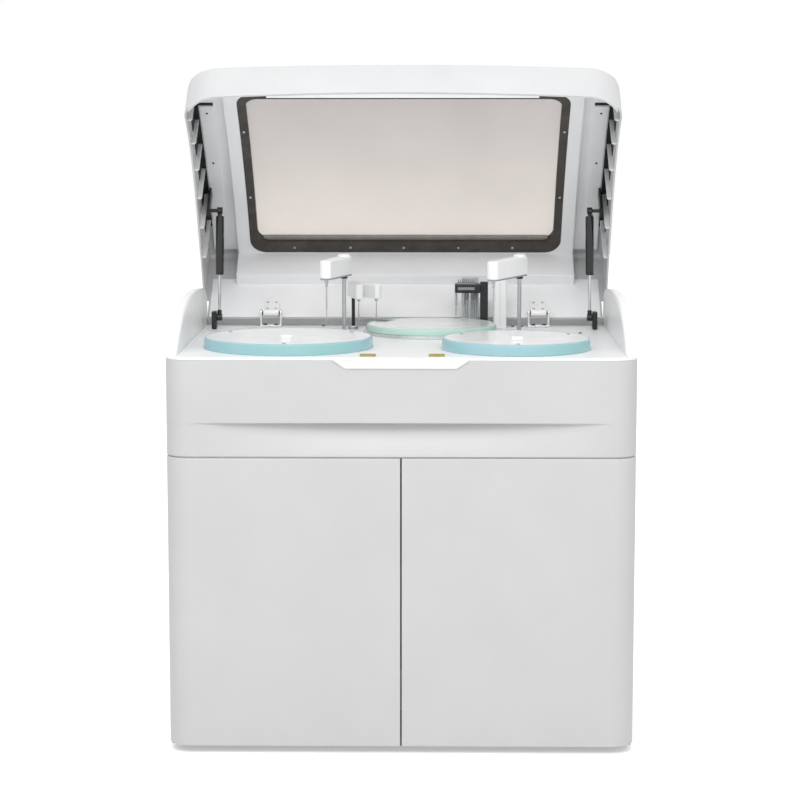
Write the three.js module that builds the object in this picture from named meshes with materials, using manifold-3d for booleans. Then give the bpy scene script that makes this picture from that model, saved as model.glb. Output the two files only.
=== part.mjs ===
import * as THREE from "three";
import { mergeVertices } from "three/addons/utils/BufferGeometryUtils.js";
import Module from "manifold-3d";

// A floor-standing chemistry analyzer: a two-door cabinet, a deck with three discs, two probes,
// a mixer and a wash station, and a windowed lid that two gas struts hold open.
// Millimetres; x to the right, y back from the front face, z up from the floor.

// Cabinet
const bodyWidth = 980;
const bodyDepth = 715;
const bodyCorner = 50;
const seam = 3;
const contact = 0.3;
const overrun = 20;
const sheet = 2.5;
const doorBottom = 12;
const panelHeight = 204;
const panelSheet = 4;
const wrapDepth = 75;
const doorThickness = 18;
const lipThickness = 4;
const lipTurn = 290;
const pivotInset = 12;
const pivotBack = 45;
const pivotPin = 4;
const pivotBlock = 12;
const pivotReach = 30;
const runningGap = 0.4;
const scoopDepth = 15;
const scoopEnd = 60;
const scoopRise = 69;
const footRadius = 22;
const footHeight = 14;
const footInset = 70;
const railWidth = 44;
const railHeight = 46;
const frameFront = 82;
const earThickness = 3;
const plateDrop = 36;
const plateThickness = 4;

// Deck
const deckHeight = 838;
const deckFace = 6;
const deckRoll = 4.5;
const cheekThickness = 24;
const cheekPeak = 97;
const cheekStart = 35;
const cheekPeakAhead = 200;
const cheekCurveShare = 2.8;
const lipHalfTop = 140;
const lipHalfBottom = 114;
const lipDrop = 17;
const lipProud = 2.2;
const ledgeDepth = 22;
const ledgeHeight = 16;

// Discs
const discGap = 145.5;
const columnAhead = 40;
const bowlWall = 3;
const bowlDepth = 138;
const flangeWidth = 6;
const flangeHeight = 2;
const sampleMargin = 40;
const sampleBack = 209;
const sampleCoverSize = 182;
const sampleRingSize = 146.8;
const reagentMargin = 63.5;
const reagentBack = 181;
const reagentCoverSize = 159.5;
const reagentRingSize = 135;
const reactionX = 62;
const reactionInset = 215;
const reactionCoverSize = 148;
const reactionRingSize = 126;
const coverHeight = 24;
const reactionCoverHeight = 14;
const reactionCollar = 8;
const coverWall = 2.5;
const coverGap = 3;
const rotorThickness = 30;
const rotorDrop = 10;
const reactionRotorDrop = 23;
const rotorGap = 4;
const spindle = 8;
const motorRadius = 34;
const motorRecess = 40;
const tubeSize = 7;
const cuvetteSize = 5;
const tubeCount = 20;
const cuvetteCount = 24;
const gripWidth = 24;
const gripDepth = 12;
const gripHeight = 9;
const gripForward = 68;

// Probes, mixer and wash station
const columnBehind = 251;
const sampleColumnOffset = 110;
const sampleArm = 130;
const sampleTurn = 195;
const reagentColumnOffset = 17;
const reagentArm = 164;
const reagentTurn = 202.2;
const columnRadius = 4.5;
const armRise = 134;
const armHeight = 43;
const armHalf = 15;
const hubRadius = 18;
const domeHeight = 6;
const needleRadius = 1.5;
const needleRise = 38;
const needleNut = 4;
const bushRadius = 12;
const bushHeight = 8;
const railRadius = 6;
const railOffset = 30;
const carriageWidth = 30;
const carriageHeight = 34;
const carriageDrop = 74;
const columnDrop = 98;
const mixerOffset = 165;
const mixerBehind = 96;
const mixerArm = 82;
const mixerTurns = [190.6, 221.8];
const mixerRise = 76;
const mixerHeight = 34;
const mixerHalf = 11;
const mixerColumn = 4;
const paddleRise = 28;
const paddleRadius = 2;
const accessSize = 8;
const wellRim = 15;
const wellDepth = 50;
const washColumnOffset = 122;
const washColumnBehind = 114;
const washColumnHalf = 9;
const washColumnHeight = 108;
const washHeadRise = 84;
const washHeadHeight = 29;
const washHeadHalf = 29;
const washHeadAhead = 32;
const washHeadDepth = 42;
const nozzleRadius = 3;
const nozzleRise = 28;
const nozzleTurns = [45, 36, 27];
const manifoldOffset = 90;
const manifoldHalf = 20;
const manifoldBehind = 131;
const manifoldDepth = 10;
const manifoldHeight = 116;
const manifoldRib = 2;
const tubeBoxOffset = 159;
const tubeBoxBehind = 122;
const tubeBoxHalf = 15;
const tubeBoxHeight = 114;

// Lid, drawn closed and then swung open about its hinge
const hingeInset = 65;
const hingeRise = 32;
const lidOpenAngle = 54.5;
const lidInset = 15;
const lidWall = 4;
const lidGap = 4;
const lidFront = 4;
const lidBow = 16;
const lidCorner = 75;
const lidEdge = 16;
const lidOverhang = 16;
const lidFrontRise = 109;
const lidBackRise = 258;
const lidCrown = 35;
const lidSideGap = 4;
const lidBackGap = 5;
const lidHeelRise = 28;
const lidSteps = 8;
const lidEdgeShares = [0, 0.06, 0.25, 0.6, 1];
const lidCornerShares = [0.5, 0.75, 1];
const lidFlatShares = [0.3, 0.55, 0.78];
const cheekHeel = 57;
const windowInset = 106;
const windowFront = 88;
const windowHeel = 37;
const windowCorner = 38;
const windowBar = 18;
const windowFoot = 32;
const paneLap = 7;
const paneThickness = 4;
const gasketDepth = 20;
const linerDepth = 30;
const linerSheet = 3;
const linerInset = 75;
const linerFront = 58;
const gutterDepth = 10;
const gutterInset = 13;
const shelfRise = 145;
const linerShelfDepth = 29;
const ribCount = 6;
const ribDepth = 11;
const ribThickness = 4;
const stripInset = 183;
const stripBack = 20;
const stripThickness = 7;
const channelWidth = 32;
const channelInset = 19;
const channelFront = 110;
const channelEnd = 110;
const hingeOffset = 178;
const hingeHalf = 25;
const hingePlate = 4;
const hingePin = 4;
const hingeNotch = 9;
const knuckle = 8;
const knuckleHalf = 18;
const leafHeight = 52;

// Gas struts
const strutInset = 63;
const strutHalf = 6;
const strutEye = 8;
const strutPin = 4;
const strutFootAhead = 60;
const strutFootDrop = 5;
const ballAhead = 207;
const ballRise = 121;
const strutRod = 3.2;
const strutTube = 9.5;
const strutTubeLength = 145;
const strutRodLength = 151;
const bracketThickness = 11;
const bracketHalf = 14;

// Behind the doors
const supplyWidth = 260;
const supplyDepth = 210;
const supplyHeight = 180;
const tankWidth = 170;
const tankDepth = 230;
const tankHeight = 270;
const tankNeck = 24;
const tankCap = 28;

// Worked out from the sizes above
const half = bodyWidth / 2;
const innerHalf = half - cheekThickness;
const panelTop = deckHeight - deckFace;
const doorTop = panelTop - panelHeight;
const panelBottom = doorTop + seam;
const scoopTop = panelBottom + scoopRise;
const scoopHalf = half - scoopEnd;
const frameTop = doorBottom + earThickness + railHeight;
const plateHeight = doorTop - plateDrop;
const hingeX = half - hingeOffset;
const hingeY = bodyDepth - hingeInset;
const hingeZ = deckHeight + hingeRise;
const cheekPeakBack = hingeY - cheekPeakAhead;
// The two front discs fill the deck's width, and a front disc and its column the depth before the
// reaction disc. What stands on or over a disc follows whichever of the two gives less room.
const widthFit = (innerHalf * 2 - sampleMargin - discGap - reagentMargin)
  / ((sampleCoverSize + reagentCoverSize) * 2);
const depthFit = (bodyDepth - reactionInset - columnAhead) / (sampleBack + columnBehind);
const discFit = Math.min(widthFit, depthFit);
const sampleCoverRadius = sampleCoverSize * discFit;
const sampleRingRadius = sampleRingSize * discFit;
const reagentCoverRadius = reagentCoverSize * discFit;
const reagentRingRadius = reagentRingSize * discFit;
const reactionCoverRadius = reactionCoverSize * discFit;
const reactionRingRadius = reactionRingSize * discFit;
const sampleArmLength = sampleArm * discFit;
const reagentArmLength = reagentArm * discFit;
const mixerArmLength = mixerArm * discFit;
const accessRadius = accessSize * discFit;
const tubeRadius = tubeSize * discFit;
const cuvetteRadius = cuvetteSize * discFit;
const sampleX = sampleMargin + sampleCoverRadius - innerHalf;
const sampleY = sampleBack * discFit;
const reagentX = innerHalf - reagentMargin - reagentCoverRadius;
const reagentY = reagentBack * discFit;
const reactionY = bodyDepth - reactionInset;
const columnY = sampleY + columnBehind * discFit;
const sampleColumnX = sampleX + sampleColumnOffset * discFit;
const reagentColumnX = reagentX + reagentColumnOffset * discFit;
const columnFoot = deckHeight - columnDrop;
const carriageTop = deckHeight - carriageDrop;
const armBottom = deckHeight + armRise;
const needleTip = deckHeight + needleRise;
const mixerX = reactionX - mixerOffset * discFit - wellRim;
const mixerY = reactionY + mixerBehind * discFit;
const mixerBottom = deckHeight + mixerRise;
const paddleTip = deckHeight + paddleRise;
const washColumnX = reactionX + washColumnOffset * discFit;
const washColumnY = reactionY + washColumnBehind * discFit;
const washHeadFront = washColumnY - washHeadAhead;
const washHeadBottom = deckHeight + washHeadRise;
const nozzleTip = deckHeight + nozzleRise;
const manifoldX = reactionX + manifoldOffset * discFit;
const manifoldFront = reactionY + manifoldBehind * discFit;
const tubeBoxX = reactionX + tubeBoxOffset * discFit;
const tubeBoxY = reactionY + tubeBoxBehind * discFit;
const lidHalf = half - lidInset;
const lidBack = hingeY + lidOverhang;
const lidBottom = deckHeight + lidGap;
const lidHeel = deckHeight + lidHeelRise;
const lidFrontHeight = deckHeight + lidFrontRise;
const lidBackHeight = deckHeight + lidBackRise;
const windowHalf = lidHalf - windowInset;
const windowBack = lidBack - windowHeel;
const paneHalf = windowHalf + paneLap;
const linerHalf = lidHalf - linerInset;
const linerShelf = deckHeight + shelfRise;
const gutterHalf = lidHalf - gutterInset;
const stripHalf = lidHalf - stripInset;
const channelOuter = lidHalf - channelInset;
const channelInner = channelOuter - channelWidth;
const channelBack = hingeY - channelEnd;
const strutX = half - strutInset;
const footY = hingeY - strutFootAhead;
const footZ = hingeZ - strutFootDrop;
const ballY = hingeY - ballAhead;
const ballZ = hingeZ + ballRise;

const wasm = await Module();
wasm.setup();

// Shape helpers: each returns a manifold solid in the machine's own axes.
function solid(geometry) {
  const bare = geometry.clone();
  bare.deleteAttribute("normal");
  bare.deleteAttribute("uv");
  const merged = mergeVertices(bare);
  return new wasm.Manifold(
    new wasm.Mesh({
      numProp: 3,
      vertProperties: new Float32Array(merged.attributes.position.array),
      triVerts: new Uint32Array(merged.index.array),
    }),
  );
}

function block(x0, x1, y0, y1, z0, z1) {
  const box = new THREE.BoxGeometry(x1 - x0, y1 - y0, z1 - z0);
  box.translate((x0 + x1) / 2, (y0 + y1) / 2, (z0 + z1) / 2);
  return solid(box);
}

function shapeOf(points) {
  return new THREE.Shape(points.map(([a, b]) => new THREE.Vector2(a, b)));
}

// An outline of (x, y) points raised from z0 to z1.
function extrudeUp(points, z0, z1) {
  const made = new THREE.ExtrudeGeometry(shapeOf(points), { depth: z1 - z0, bevelEnabled: false });
  made.translate(0, 0, z0);
  return solid(made);
}

// An outline of (y, z) points drawn along x, from x0 to x1.
function extrudeAcross(points, x0, x1) {
  const made = new THREE.ExtrudeGeometry(shapeOf(points), { depth: x1 - x0, bevelEnabled: false });
  made.applyMatrix4(new THREE.Matrix4().makeBasis(
    new THREE.Vector3(0, 1, 0), new THREE.Vector3(0, 0, 1), new THREE.Vector3(1, 0, 0)));
  made.translate(x0, 0, 0);
  return solid(made);
}

function cylinder(radius, x, y, z0, z1, sides = 24) {
  const made = new THREE.CylinderGeometry(radius, radius, z1 - z0, sides);
  made.rotateX(Math.PI / 2);
  made.translate(x, y, (z0 + z1) / 2);
  return solid(made);
}

function crossPin(radius, x0, x1, y, z, sides = 16) {
  const made = new THREE.CylinderGeometry(radius, radius, x1 - x0, sides);
  made.rotateZ(Math.PI / 2);
  made.translate((x0 + x1) / 2, y, z);
  return solid(made);
}

// A turned piece: (radius, height) points that start and end on the axis or close on themselves.
function turned(points, x, y, sides = 36) {
  const made = new THREE.LatheGeometry(points.map(([r, z]) => new THREE.Vector2(r, z)), sides);
  made.rotateX(Math.PI / 2);
  made.translate(x, y, 0);
  return solid(made);
}

function join(...solids) {
  return solids.reduce((whole, next) => whole.add(next));
}

function circle(x, y, radius, from, to, steps) {
  return Array.from({ length: steps + 1 }, (_, i) => {
    const turn = THREE.MathUtils.degToRad(from + ((to - from) * i) / steps);
    return [x + radius * Math.cos(turn), y + radius * Math.sin(turn)];
  });
}

function roundedBox(x0, x1, y0, y1, radius, steps = 6) {
  return [
    ...circle(x1 - radius, y1 - radius, radius, 0, 90, steps),
    ...circle(x0 + radius, y1 - radius, radius, 90, 180, steps),
    ...circle(x0 + radius, y0 + radius, radius, 180, 270, steps),
    ...circle(x1 - radius, y0 + radius, radius, 270, 360, steps),
  ];
}

// A solid through matching closed upright sections, each a list of Vector3 that starts at one end.
function loft(sections) {
  const count = sections[0].length;
  const positions = sections.flat().flatMap((p) => [p.x, p.y, p.z]);
  const faces = [];
  for (let s = 0; s + 1 < sections.length; s++) {
    for (let i = 0; i < count; i++) {
      const a = s * count + i;
      const b = s * count + ((i + 1) % count);
      faces.push(a, b, b + count, a, b + count, a + count);
    }
  }
  const { isClockWise, triangulateShape } = THREE.ShapeUtils;
  for (const s of [0, sections.length - 1]) {
    const [start] = sections[s];
    const ring = sections[s].map((p) => new THREE.Vector2(Math.hypot(p.x - start.x, p.y - start.y), p.z));
    triangulateShape(ring, []).forEach((corners) => {
      const sameWay = isClockWise(corners.map((n) => ring[n])) === isClockWise(ring);
      const [i, j, k] = corners.map((n) => n + s * count);
      faces.push(i, ...(sameWay === (s > 0) ? [j, k] : [k, j]));
    });
  }
  const made = new THREE.BufferGeometry();
  made.setAttribute("position", new THREE.Float32BufferAttribute(positions, 3));
  made.setIndex(faces);
  return solid(made);
}

// Finishes
function finish(color, roughness, metalness = 0, opacity = 1) {
  return new THREE.MeshStandardMaterial({ color, roughness, metalness, opacity, transparent: opacity < 1 });
}
const cabinetPaint = finish(0xd6d8da, 0.45);
const whitePlastic = finish(0xf3f4f5, 0.35);
const linerPlastic = finish(0xd9dadd, 0.5);
const darkRubber = finish(0x3a3530, 0.7);
const clearPane = finish(0xd8cfc4, 0.1, 0, 0.5);
const cyanPlastic = finish(0x9fd8e0, 0.15, 0, 0.6);
const greenPlastic = finish(0xc8e2d8, 0.15, 0, 0.5);
const blackMetal = finish(0x16171a, 0.4, 0.3);
const steel = finish(0xb9bcc0, 0.3, 0.9);
const zinc = finish(0xa4a8ac, 0.45, 0.8);
const greyPlastic = finish(0x8d9298, 0.6);

const analyzer = new THREE.Group();
function add(name, shape, material, parent = analyzer) {
  const { vertProperties, triVerts, numProp } = shape.getMesh();
  const geometry = new THREE.BufferGeometry();
  geometry.setAttribute("position", new THREE.BufferAttribute(vertProperties, numProp));
  geometry.setIndex(new THREE.BufferAttribute(triVerts, 1));
  geometry.computeVertexNormals();
  const mesh = new THREE.Mesh(geometry, material);
  mesh.name = name;
  parent.add(mesh);
  return mesh;
}

const sides = [["left", -1], ["right", 1]];
// A range from a to b on the right, mirrored to run from -b to -a on the left.
const span = (side, a, b) => (side > 0 ? [a, b] : [-b, -a]);

// Base: a welded rail frame whose front ears carry the lower door pins, on four levelling feet.
const earBottom = doorBottom - contact;
const earTop = earBottom + earThickness;
const pinX = half - pivotInset;
const frameHalf = half - sheet - contact;
const frameBack = bodyDepth - sheet - contact;
let base = block(-frameHalf, frameHalf, frameFront, frameBack, earBottom, frameTop).subtract(
  block(railWidth - frameHalf, frameHalf - railWidth, frameFront + railWidth, frameBack - railWidth,
    earBottom - overrun, frameTop + overrun));
for (const [, side] of sides) {
  const [x0, x1] = span(side, pinX - pivotReach, pinX + pivotPin + seam);
  const ear = block(x0, x1, pivotBack - pivotBlock, frameFront + railWidth, earBottom, earTop);
  const pin = cylinder(pivotPin, side * pinX, pivotBack, earBottom, earTop + pivotReach, 16);
  base = join(base, ear, pin);
}
add("base_frame", base, blackMetal);

const feetY = [["front", frameFront + railWidth / 2], ["rear", frameBack - railWidth / 2]];
for (const [sideName, side] of sides) {
  for (const [endName, y] of feetY) {
    const pad = footHeight / 3;
    const foot = turned([[0, 0], [footRadius, 0], [footRadius, pad], [footRadius / 2, pad * 2],
      [footRadius / 2, earBottom - contact], [0, earBottom - contact]],
    side * (half - footInset), y, 20);
    add(`${sideName}_${endName}_foot`, foot, darkRubber);
  }
}

// Sheet panels behind the doors' wrapped corners
const sideFront = wrapDepth + seam;
for (const [sideName, side] of sides) {
  const [x0, x1] = span(side, half - sheet, half);
  add(`${sideName}_side_panel`, block(x0, x1, sideFront, bodyDepth, doorBottom, panelTop), cabinetPaint);
}
add("rear_panel",
  block(-frameHalf, frameHalf, bodyDepth - sheet, bodyDepth, doorBottom, panelTop), cabinetPaint);

// A path round the front of the cabinet, left to right, with the outward normal at each station.
function frontPath(stops) {
  const path = [];
  const push = (x, y, turn) => path.push({ x, y, nx: Math.cos(turn), ny: Math.sin(turn) });
  push(-half, wrapDepth, Math.PI);
  circle(0, 0, 1, 180, 270, 8).forEach(([c, s]) => push(
    bodyCorner - half + bodyCorner * c, bodyCorner + bodyCorner * s, Math.atan2(s, c)));
  stops.forEach((x) => push(x, 0, -Math.PI / 2));
  circle(0, 0, 1, 270, 360, 8).forEach(([c, s]) => push(
    half - bodyCorner + bodyCorner * c, bodyCorner + bodyCorner * s, Math.atan2(s, c)));
  push(half, wrapDepth, 0);
  return path;
}

// Front upper panel: a bent sheet whose lower half is pressed in to a long scooped grip.
const scoopStops = Array.from({ length: 17 }, (_, i) => ((i - 8) / 8) * scoopHalf);
const scoopShares = [[0, 0], [0.3, 0.5], [0.62, 0.82], [1, 1]];
function panelSection({ x, y, nx, ny }) {
  const bite = scoopDepth * Math.max(0, 1 - (x / scoopHalf) ** 2) * (ny < -0.999 ? 1 : 0);
  const rise = scoopTop - panelBottom;
  const outer = scoopShares.map(([up, depth]) => [bite * depth, panelBottom + up * rise]);
  outer.push([0, scoopTop + sheet], [0, panelTop]);
  const inner = outer.map(([n, z]) => [n + panelSheet, z]).reverse();
  return [...outer, ...inner].reverse().map(([n, z]) => new THREE.Vector3(x - nx * n, y - ny * n, z));
}
let frontPanel = loft(frontPath(scoopStops).map(panelSection));
for (const [, side] of sides) {
  const [x0, x1] = span(side, pinX - pivotReach, half - panelSheet);
  const shelf = block(x0, x1, pivotBack - pivotBlock, wrapDepth, panelBottom, panelBottom + panelSheet);
  const pin = cylinder(pivotPin, side * pinX, pivotBack, doorTop - pivotReach, panelBottom + panelSheet, 16);
  frontPanel = join(frontPanel, shelf, pin);
}
add("front_panel", frontPanel, cabinetPaint);

// Doors: a flat foamed slab that thins to a lip round the corner, with pivot blocks at both ends.
for (const [sideName, side] of sides) {
  const centre = half - bodyCorner;
  const plan = [
    [seam / 2, 0], ...circle(centre, bodyCorner, bodyCorner, 270, 360, 8), [half, wrapDepth],
    [half - lipThickness, wrapDepth],
    ...circle(centre, bodyCorner, bodyCorner - lipThickness, 360, lipTurn, 7),
    [centre, doorThickness], [seam / 2, doorThickness],
  ].map(([x, y]) => [side * x, y]);
  let door = extrudeUp(plan, doorBottom + seam, doorTop);
  const filled = [
    [centre, lipThickness / 2], ...circle(centre, bodyCorner, bodyCorner - lipThickness / 2, 270, 360, 8),
    [half - lipThickness / 2, wrapDepth], [centre, wrapDepth],
  ].map(([x, y]) => [side * x, y]);
  const within = extrudeUp(filled, doorBottom, panelBottom);
  for (const z of [doorBottom + seam, doorTop - pivotReach]) {
    const [x0, x1] = span(side, pinX - pivotBlock, half);
    const corner = block(x0, x1, doorThickness / 2, pivotBack + pivotBlock, z, z + pivotReach);
    door = door.add(corner.intersect(within));
  }
  door = door.subtract(cylinder(pivotPin + runningGap, side * pinX, pivotBack, doorBottom - overrun,
    doorBottom + seam + pivotReach + seam, 16));
  door = door.subtract(cylinder(pivotPin + runningGap, side * pinX, pivotBack, doorTop - pivotReach - seam,
    doorTop + overrun, 16));
  add(`${sideName}_door`, door, cabinetPaint);
}

// Instrument plate that carries the drives
const plateHalf = half - sheet - contact;
const plateTop = plateHeight + plateThickness;
add("instrument_plate",
  block(-plateHalf, plateHalf, frameFront, bodyDepth - sheet - contact, plateHeight, plateTop), zinc);

// The deck's arched cheeks: height of the arch above the deck at a distance back from the front.
function arch(y) {
  const rise = Math.min(Math.max((y - cheekStart) / (cheekPeakBack - cheekStart), 0), 1);
  const heel = cheekHeel + hingeZ - deckHeight;
  const fall = Math.min(Math.max((y - cheekPeakBack) / (hingeY - cheekPeakBack), 0), 1);
  return cheekPeak * (1 - (1 - rise) ** cheekCurveShare) - (cheekPeak - heel) * fall ** 2;
}
function archLine(gap, heelGap) {
  const line = [];
  for (let i = 0; i <= 20; i++) {
    const y = cheekStart + ((hingeY - cheekStart) * (i / 20) ** 1.5);
    line.push([y, deckHeight + arch(y) + gap]);
  }
  line.pop();
  return [...line, ...circle(hingeY, hingeZ, cheekHeel + heelGap, 90, 0, 8)];
}
// Where the rounded corner stands at a distance out from the middle, in degrees round its centre
const cornerTurn = (x) => 360 - THREE.MathUtils.radToDeg(Math.acos((x - half + bodyCorner) / bodyCorner));
for (const [sideName, side] of sides) {
  const plan = [
    ...circle(half - bodyCorner, bodyCorner, bodyCorner, cornerTurn(innerHalf), 360, 7),
    [half, bodyDepth], [innerHalf, bodyDepth],
  ].map(([x, y]) => [side * x, y]);
  const profile = [[0, panelTop + contact], [0, deckHeight], ...archLine(0, 0),
    [hingeY + cheekHeel, panelTop + contact]];
  const [x0, x1] = span(side, innerHalf - overrun, half + overrun);
  const cheek = extrudeUp(plan, panelTop + contact, deckHeight + cheekPeak + overrun)
    .intersect(extrudeAcross(profile, x0, x1));
  add(`${sideName}_cheek`, cheek, whitePlastic);
}

// Deck tray: rolled front edge, a latch lip over the panel, a rear ledge, and holes for all that it carries.
const deckHalf = innerHalf - contact;
const deckBottom = panelTop + contact;
const deckCorner = circle(half - bodyCorner, bodyCorner, bodyCorner, 270, cornerTurn(deckHalf), 5);
const deckPlan = [...deckCorner.map(([x, y]) => [-x, y]).reverse(), ...deckCorner,
  [deckHalf, bodyDepth], [-deckHalf, bodyDepth]];
const rollProfile = [[0, deckBottom - overrun], [0, deckHeight - deckRoll],
  [deckRoll / 3, deckHeight - deckRoll / 3], [deckRoll, deckHeight], [bodyDepth, deckHeight],
  [bodyDepth, deckBottom - overrun]];
let deck = extrudeUp(deckPlan, deckBottom, deckHeight).intersect(extrudeAcross(rollProfile, -half, half));
const ledgeFront = bodyDepth - ledgeDepth;
deck = deck.add(block(-deckHalf, deckHalf, ledgeFront, bodyDepth, deckBottom, deckHeight + ledgeHeight));
const latchLip = new THREE.ExtrudeGeometry(
  shapeOf([[-lipHalfTop, 0], [-lipHalfBottom, -lipDrop], [lipHalfBottom, -lipDrop], [lipHalfTop, 0]]),
  { depth: lipProud, bevelEnabled: false });
latchLip.rotateX(Math.PI / 2);
latchLip.translate(0, -contact, deckBottom);
deck = join(deck, solid(latchLip),
  block(-lipHalfTop, lipHalfTop, -contact - lipProud, deckRoll, deckBottom, deckHeight - deckRoll));

function polar(x, y, reach, turn) {
  const angle = THREE.MathUtils.degToRad(turn);
  return [x + reach * Math.sin(angle), y + reach * Math.cos(angle)];
}
const sampleNeedle = polar(sampleColumnX, columnY, sampleArmLength, sampleTurn);
const reagentNeedle = polar(reagentColumnX, columnY, reagentArmLength, reagentTurn);
const paddles = mixerTurns.map((turn) => polar(mixerX, mixerY, mixerArmLength, 360 - turn));
const nozzles = nozzleTurns.map((turn) => polar(reactionX, reactionY, reactionRingRadius, turn));

const discs = [
  { name: "sample", x: sampleX, y: sampleY, cover: sampleCoverRadius, height: coverHeight, collar: 0,
    ring: sampleRingRadius, aim: sampleNeedle, drop: rotorDrop, hole: tubeRadius, count: tubeCount },
  { name: "reagent", x: reagentX, y: reagentY, cover: reagentCoverRadius, height: coverHeight, collar: 0,
    ring: reagentRingRadius, aim: reagentNeedle, drop: rotorDrop, hole: tubeRadius, count: tubeCount },
  { name: "reaction", x: reactionX, y: reactionY, cover: reactionCoverRadius, height: reactionCoverHeight,
    collar: reactionCollar, ring: reactionRingRadius, aim: nozzles[0], drop: reactionRotorDrop,
    hole: cuvetteRadius, count: cuvetteCount },
];
const bowlOuter = (disc) => disc.cover - coverWall - coverGap - flangeWidth;
for (const disc of discs) {
  deck = deck.subtract(cylinder(bowlOuter(disc) + contact, disc.x, disc.y, deckBottom - overrun,
    deckHeight + overrun, 36));
}
const [wellX, wellY] = paddles[0];
const bushes = [[sampleColumnX, columnY], [reagentColumnX, columnY], [mixerX, mixerY]];
const bushHole = bushRadius - sheet;
for (const [x, y] of bushes) {
  deck = deck.subtract(cylinder(bushHole + contact, x, y, deckBottom - overrun, deckHeight + overrun));
}
const wellHole = wellRim - sheet;
deck = deck.subtract(cylinder(wellHole + contact, wellX, wellY, deckBottom - overrun, deckHeight + overrun));
add("deck_tray", deck, whitePlastic);

// Bowls, drives, rotors and covers of the three discs
for (const disc of discs) {
  const { name, x, y, cover, height, collar, ring, aim, drop, hole, count } = disc;
  const outer = bowlOuter(disc);
  const floor = deckHeight - bowlDepth;
  const flange = collar ? cover : outer + flangeWidth;
  const flangeTop = deckHeight + contact + (collar || flangeHeight);
  const hubHole = spindle + coverGap;
  add(`${name}_bowl`, turned([
    [hubHole, floor], [outer, floor], [outer, deckHeight + contact],
    [flange, deckHeight + contact], [flange, flangeTop],
    [outer - bowlWall, flangeTop], [outer - bowlWall, floor + bowlWall],
    [hubHole, floor + bowlWall], [hubHole, floor],
  ], x, y), name === "reaction" ? zinc : greyPlastic);

  const motorTop = floor - contact;
  const motorFloor = motorTop - motorRecess;
  add(`${name}_drive`, turned([
    [0, plateTop + contact], [motorRadius, plateTop + contact], [motorRadius, motorTop],
    [spindle + contact, motorTop], [spindle + contact, motorFloor], [0, motorFloor],
  ], x, y, 32), blackMetal);

  const rotorTop = deckHeight - drop;
  const rotorRadius = outer - bowlWall - rotorGap;
  let rotor = turned([
    [0, motorFloor + contact], [spindle, motorFloor + contact], [spindle, rotorTop - rotorThickness],
    [rotorRadius, rotorTop - rotorThickness], [rotorRadius, rotorTop], [spindle * 3, rotorTop],
    [spindle * 3, rotorTop + sheet], [0, rotorTop + sheet],
  ], x, y);
  const first = Math.atan2(aim[1] - y, aim[0] - x);
  for (let i = 0; i < count; i++) {
    const turn = first + (2 * Math.PI * i) / count;
    rotor = rotor.subtract(cylinder(hole, x + ring * Math.cos(turn), y + ring * Math.sin(turn),
      rotorTop - rotorThickness - overrun, rotorTop + overrun, 8));
  }
  add(`${name}_rotor`, rotor, name === "reaction" ? steel : greyPlastic);

  const coverBottom = (collar ? flangeTop : deckHeight) + contact;
  const coverTop = coverBottom + height;
  let lid = turned([
    [cover - coverWall, coverBottom], [cover, coverBottom], [cover, coverTop - coverWall],
    [cover - coverWall, coverTop], [0, coverTop], [0, coverTop - coverWall],
    [cover - coverWall * 2, coverTop - coverWall], [cover - coverWall, coverTop - coverWall * 2],
    [cover - coverWall, coverBottom],
  ], x, y);
  const holes = collar ? [paddles[1], ...nozzles] : [aim];
  for (const [hx, hy] of holes) {
    lid = lid.subtract(cylinder(accessRadius, hx, hy, coverBottom - overrun, coverTop + overrun, 16));
  }
  if (!collar) {
    const gripY = y - gripForward;
    lid = lid.add(block(x - gripWidth / 2, x + gripWidth / 2, gripY - gripDepth / 2, gripY + gripDepth / 2,
      coverTop - coverWall, coverTop + gripHeight));
  }
  add(`${name}_cover`, lid, name === "reaction" ? greenPlastic : cyanPlastic);
}

// Lift guides: a bush through the deck, joined to the rail that the carriage climbs.
function liftGuide(name, x, y) {
  const railY = y + railOffset;
  const bushTop = deckHeight + bushHeight;
  const columnHole = columnRadius + runningGap;
  const bush = turned([
    [columnHole, deckBottom - bushHeight], [bushHole, deckBottom - bushHeight],
    [bushHole, deckHeight + contact],
    [bushRadius, deckHeight + contact], [bushRadius, bushTop - sheet], [bushRadius - sheet, bushTop],
    [columnHole, bushTop], [columnHole, deckBottom - bushHeight],
  ], x, y, 24);
  const bridge = block(x - bushHole, x + bushHole, y, railY + railRadius, deckBottom - bushHeight * 2,
    deckBottom - bushHeight).subtract(cylinder(columnHole, x, y, deckBottom - overrun * 2, deckHeight, 24));
  const rail = cylinder(railRadius, x, railY, plateTop + contact, deckBottom - bushHeight, 16);
  add(`${name}_lift_guide`, join(bush, bridge, rail), steel);

  const carriage = block(x - carriageWidth / 2, x + carriageWidth / 2, y - carriageWidth / 2,
    railY + carriageWidth / 2, columnFoot - carriageHeight / 2, carriageTop)
    .subtract(cylinder(railRadius + runningGap, x, railY, plateTop, deckHeight, 16))
    .subtract(cylinder(columnRadius + runningGap, x, y, columnFoot - contact, deckHeight, 16));
  add(`${name}_lift_carriage`, carriage, zinc);
}
liftGuide("sample", sampleColumnX, columnY);
liftGuide("reagent", reagentColumnX, columnY);
liftGuide("mixer", mixerX, mixerY);

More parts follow.
